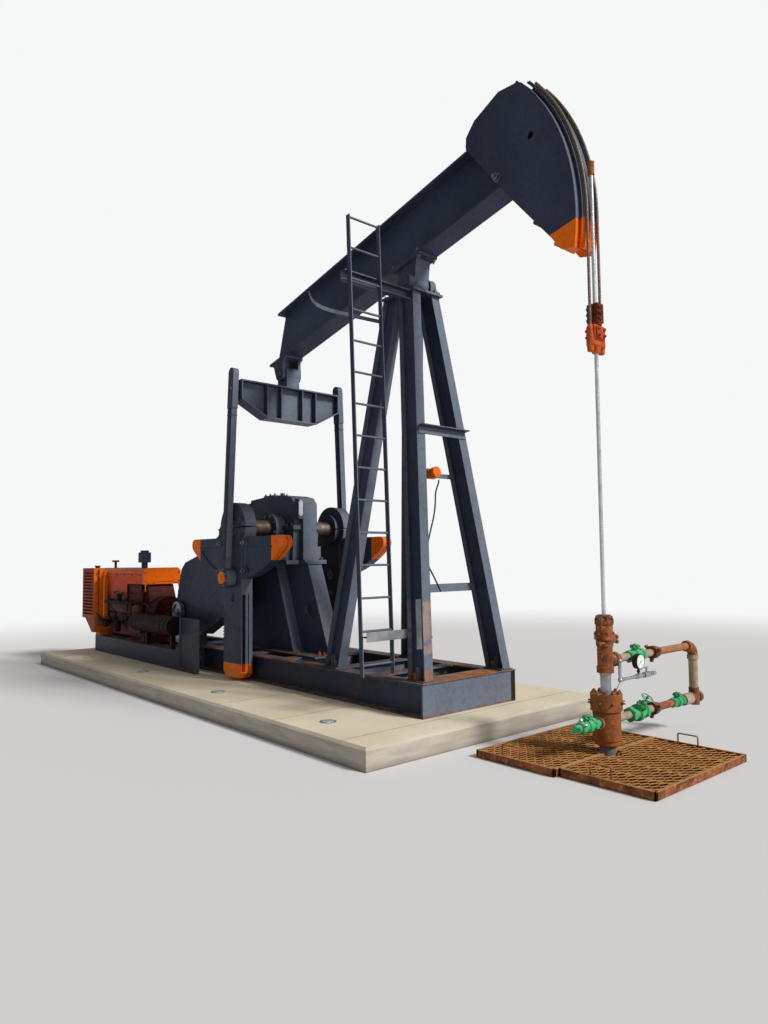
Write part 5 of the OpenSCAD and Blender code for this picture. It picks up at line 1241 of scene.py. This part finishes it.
breather = block((CRANK_X + 0.423, -0.1345, 2.225), (0.088, 0.065, 0.25), 0.004)
piece("breather_box", [breather], dark_paint, "base")
blank = block((CRANK_X + 0.4685, -0.1345, 2.235), (0.004, 0.058, 0.20), 0.001)
piece("blank_plate", [blank], plate_white, "base")
plate_screws = copies(nut(0.012, stud=0), grid((CRANK_X + 0.4705,), (-0.157, -0.112), (2.145, 2.325)), FRONT)
piece("plate_screws", [plate_screws], bolt_rust, "base")

# %% [markdown]
# ## Light, floor and camera
# The light is a plain studio: an even pale world, and one broad soft key high on the well side,
# which is where the real machine gets its sun. The floor is pale and keeps the shadow. Further out
# it fades to the same white that the world shows the camera, so that no horizon cuts the picture.

# %% Floor and backdrop
corners = np.array([[-60, -60], [60, -60], [60, 60], [-60, 60]], float)
slab_rows = np.array([np.column_stack([corners, np.full(4, z)]) for z in (-0.053, -0.003)])
floor = bpy.data.objects.new("studio_floor", to_mesh("studio_floor", [skin(slab_rows)]))
bpy.context.scene.collection.objects.link(floor)
f = Finish("studio_floor")
lit = f.node("ShaderNodeBsdfDiffuse", {"Color": (0.74, 0.74, 0.745, 1)}).outputs[0]
pale = f.node("ShaderNodeEmission", {"Color": (0.93, 0.935, 0.94, 1), "Strength": 1.0}).outputs[0]
flat = f.node("ShaderNodeVectorMath", {0: f.place, 1: (1, 1, 0)}, operation="MULTIPLY").outputs[0]
far = f.ramp(f.node("ShaderNodeVectorMath", {0: flat}, operation="LENGTH").outputs["Value"], 8.0, 17.0)
seen = f.node("ShaderNodeLightPath").outputs["Is Camera Ray"]
mixed = f.node("ShaderNodeMixShader", {0: f.both(far, seen), 1: lit, 2: pale}).outputs[0]
f.node("ShaderNodeOutputMaterial", {0: mixed})
floor.data.materials.append(f.material)

world = bpy.data.worlds.new("studio")
bpy.context.scene.world = world
world.use_nodes = True
nodes, links = world.node_tree.nodes, world.node_tree.links
path = nodes.new("ShaderNodeLightPath")
see_through = nodes.new("ShaderNodeMath")
see_through.operation = "MAXIMUM"
links.new(path.outputs["Is Camera Ray"], see_through.inputs[0])
links.new(path.outputs["Is Transmission Ray"], see_through.inputs[1])
level = nodes.new("ShaderNodeMapRange")
links.new(see_through.outputs[0], level.inputs[0])
level.inputs[3].default_value, level.inputs[4].default_value = 0.28, 0.94
nodes["Background"].inputs[0].default_value = (0.99, 0.995, 1.0, 1)
links.new(level.outputs[0], nodes["Background"].inputs[1])

key = bpy.data.lights.new("key", "SUN")
key.energy, key.angle, key.color = 3.1, 0.22, (1.0, 0.975, 0.94)
sun = bpy.data.objects.new("key", key)
sun.rotation_euler = Vector((0.78, 0.22, 0.60)).to_track_quat("Z", "Y").to_euler()
bpy.context.scene.collection.objects.link(sun)
print("floor, world and key are set")

# %% [markdown]
# ## The camera
# Its place, turn and lens were worked out from straight edges of the plinth, the post and the beam,
# so the picture lines up with the machine seen from the walkway. The lens is f / 1024 * 36 mm, since
# the taller side of the frame counts as the sensor's 36 mm.

# %% Camera
yaw, pitch, roll, focal = 0.854, 0.064, -0.010, 729.1
ahead = Vector((-np.sin(yaw) * np.cos(pitch), np.cos(yaw) * np.cos(pitch), np.sin(pitch)))
right = Vector((np.cos(yaw), np.sin(yaw), 0))
above = right.cross(ahead)
right, above = right * np.cos(roll) + above * np.sin(roll), above * np.cos(roll) - right * np.sin(roll)
camera = bpy.data.cameras.new("camera")
camera.lens, camera.sensor_width, camera.clip_end = focal / 1024 * 36, 36, 200
viewer = bpy.data.objects.new("camera", camera)
viewer.matrix_world = Matrix(((right.x, above.x, -ahead.x, 5.401), (right.y, above.y, -ahead.y, -5.198),
                              (right.z, above.z, -ahead.z, 1.606), (0, 0, 0, 1)))
bpy.context.scene.collection.objects.link(viewer)
bpy.context.scene.camera = viewer
bpy.context.scene.view_settings.view_transform = "Standard"
print("camera with a lens of", round(camera.lens, 2), "mm")

# %% [markdown]
# ## Faces made
# Last, the script prints how many faces the new pieces have.

# %% Finish
print("faces in new pieces:", sum(faces_made.values()))
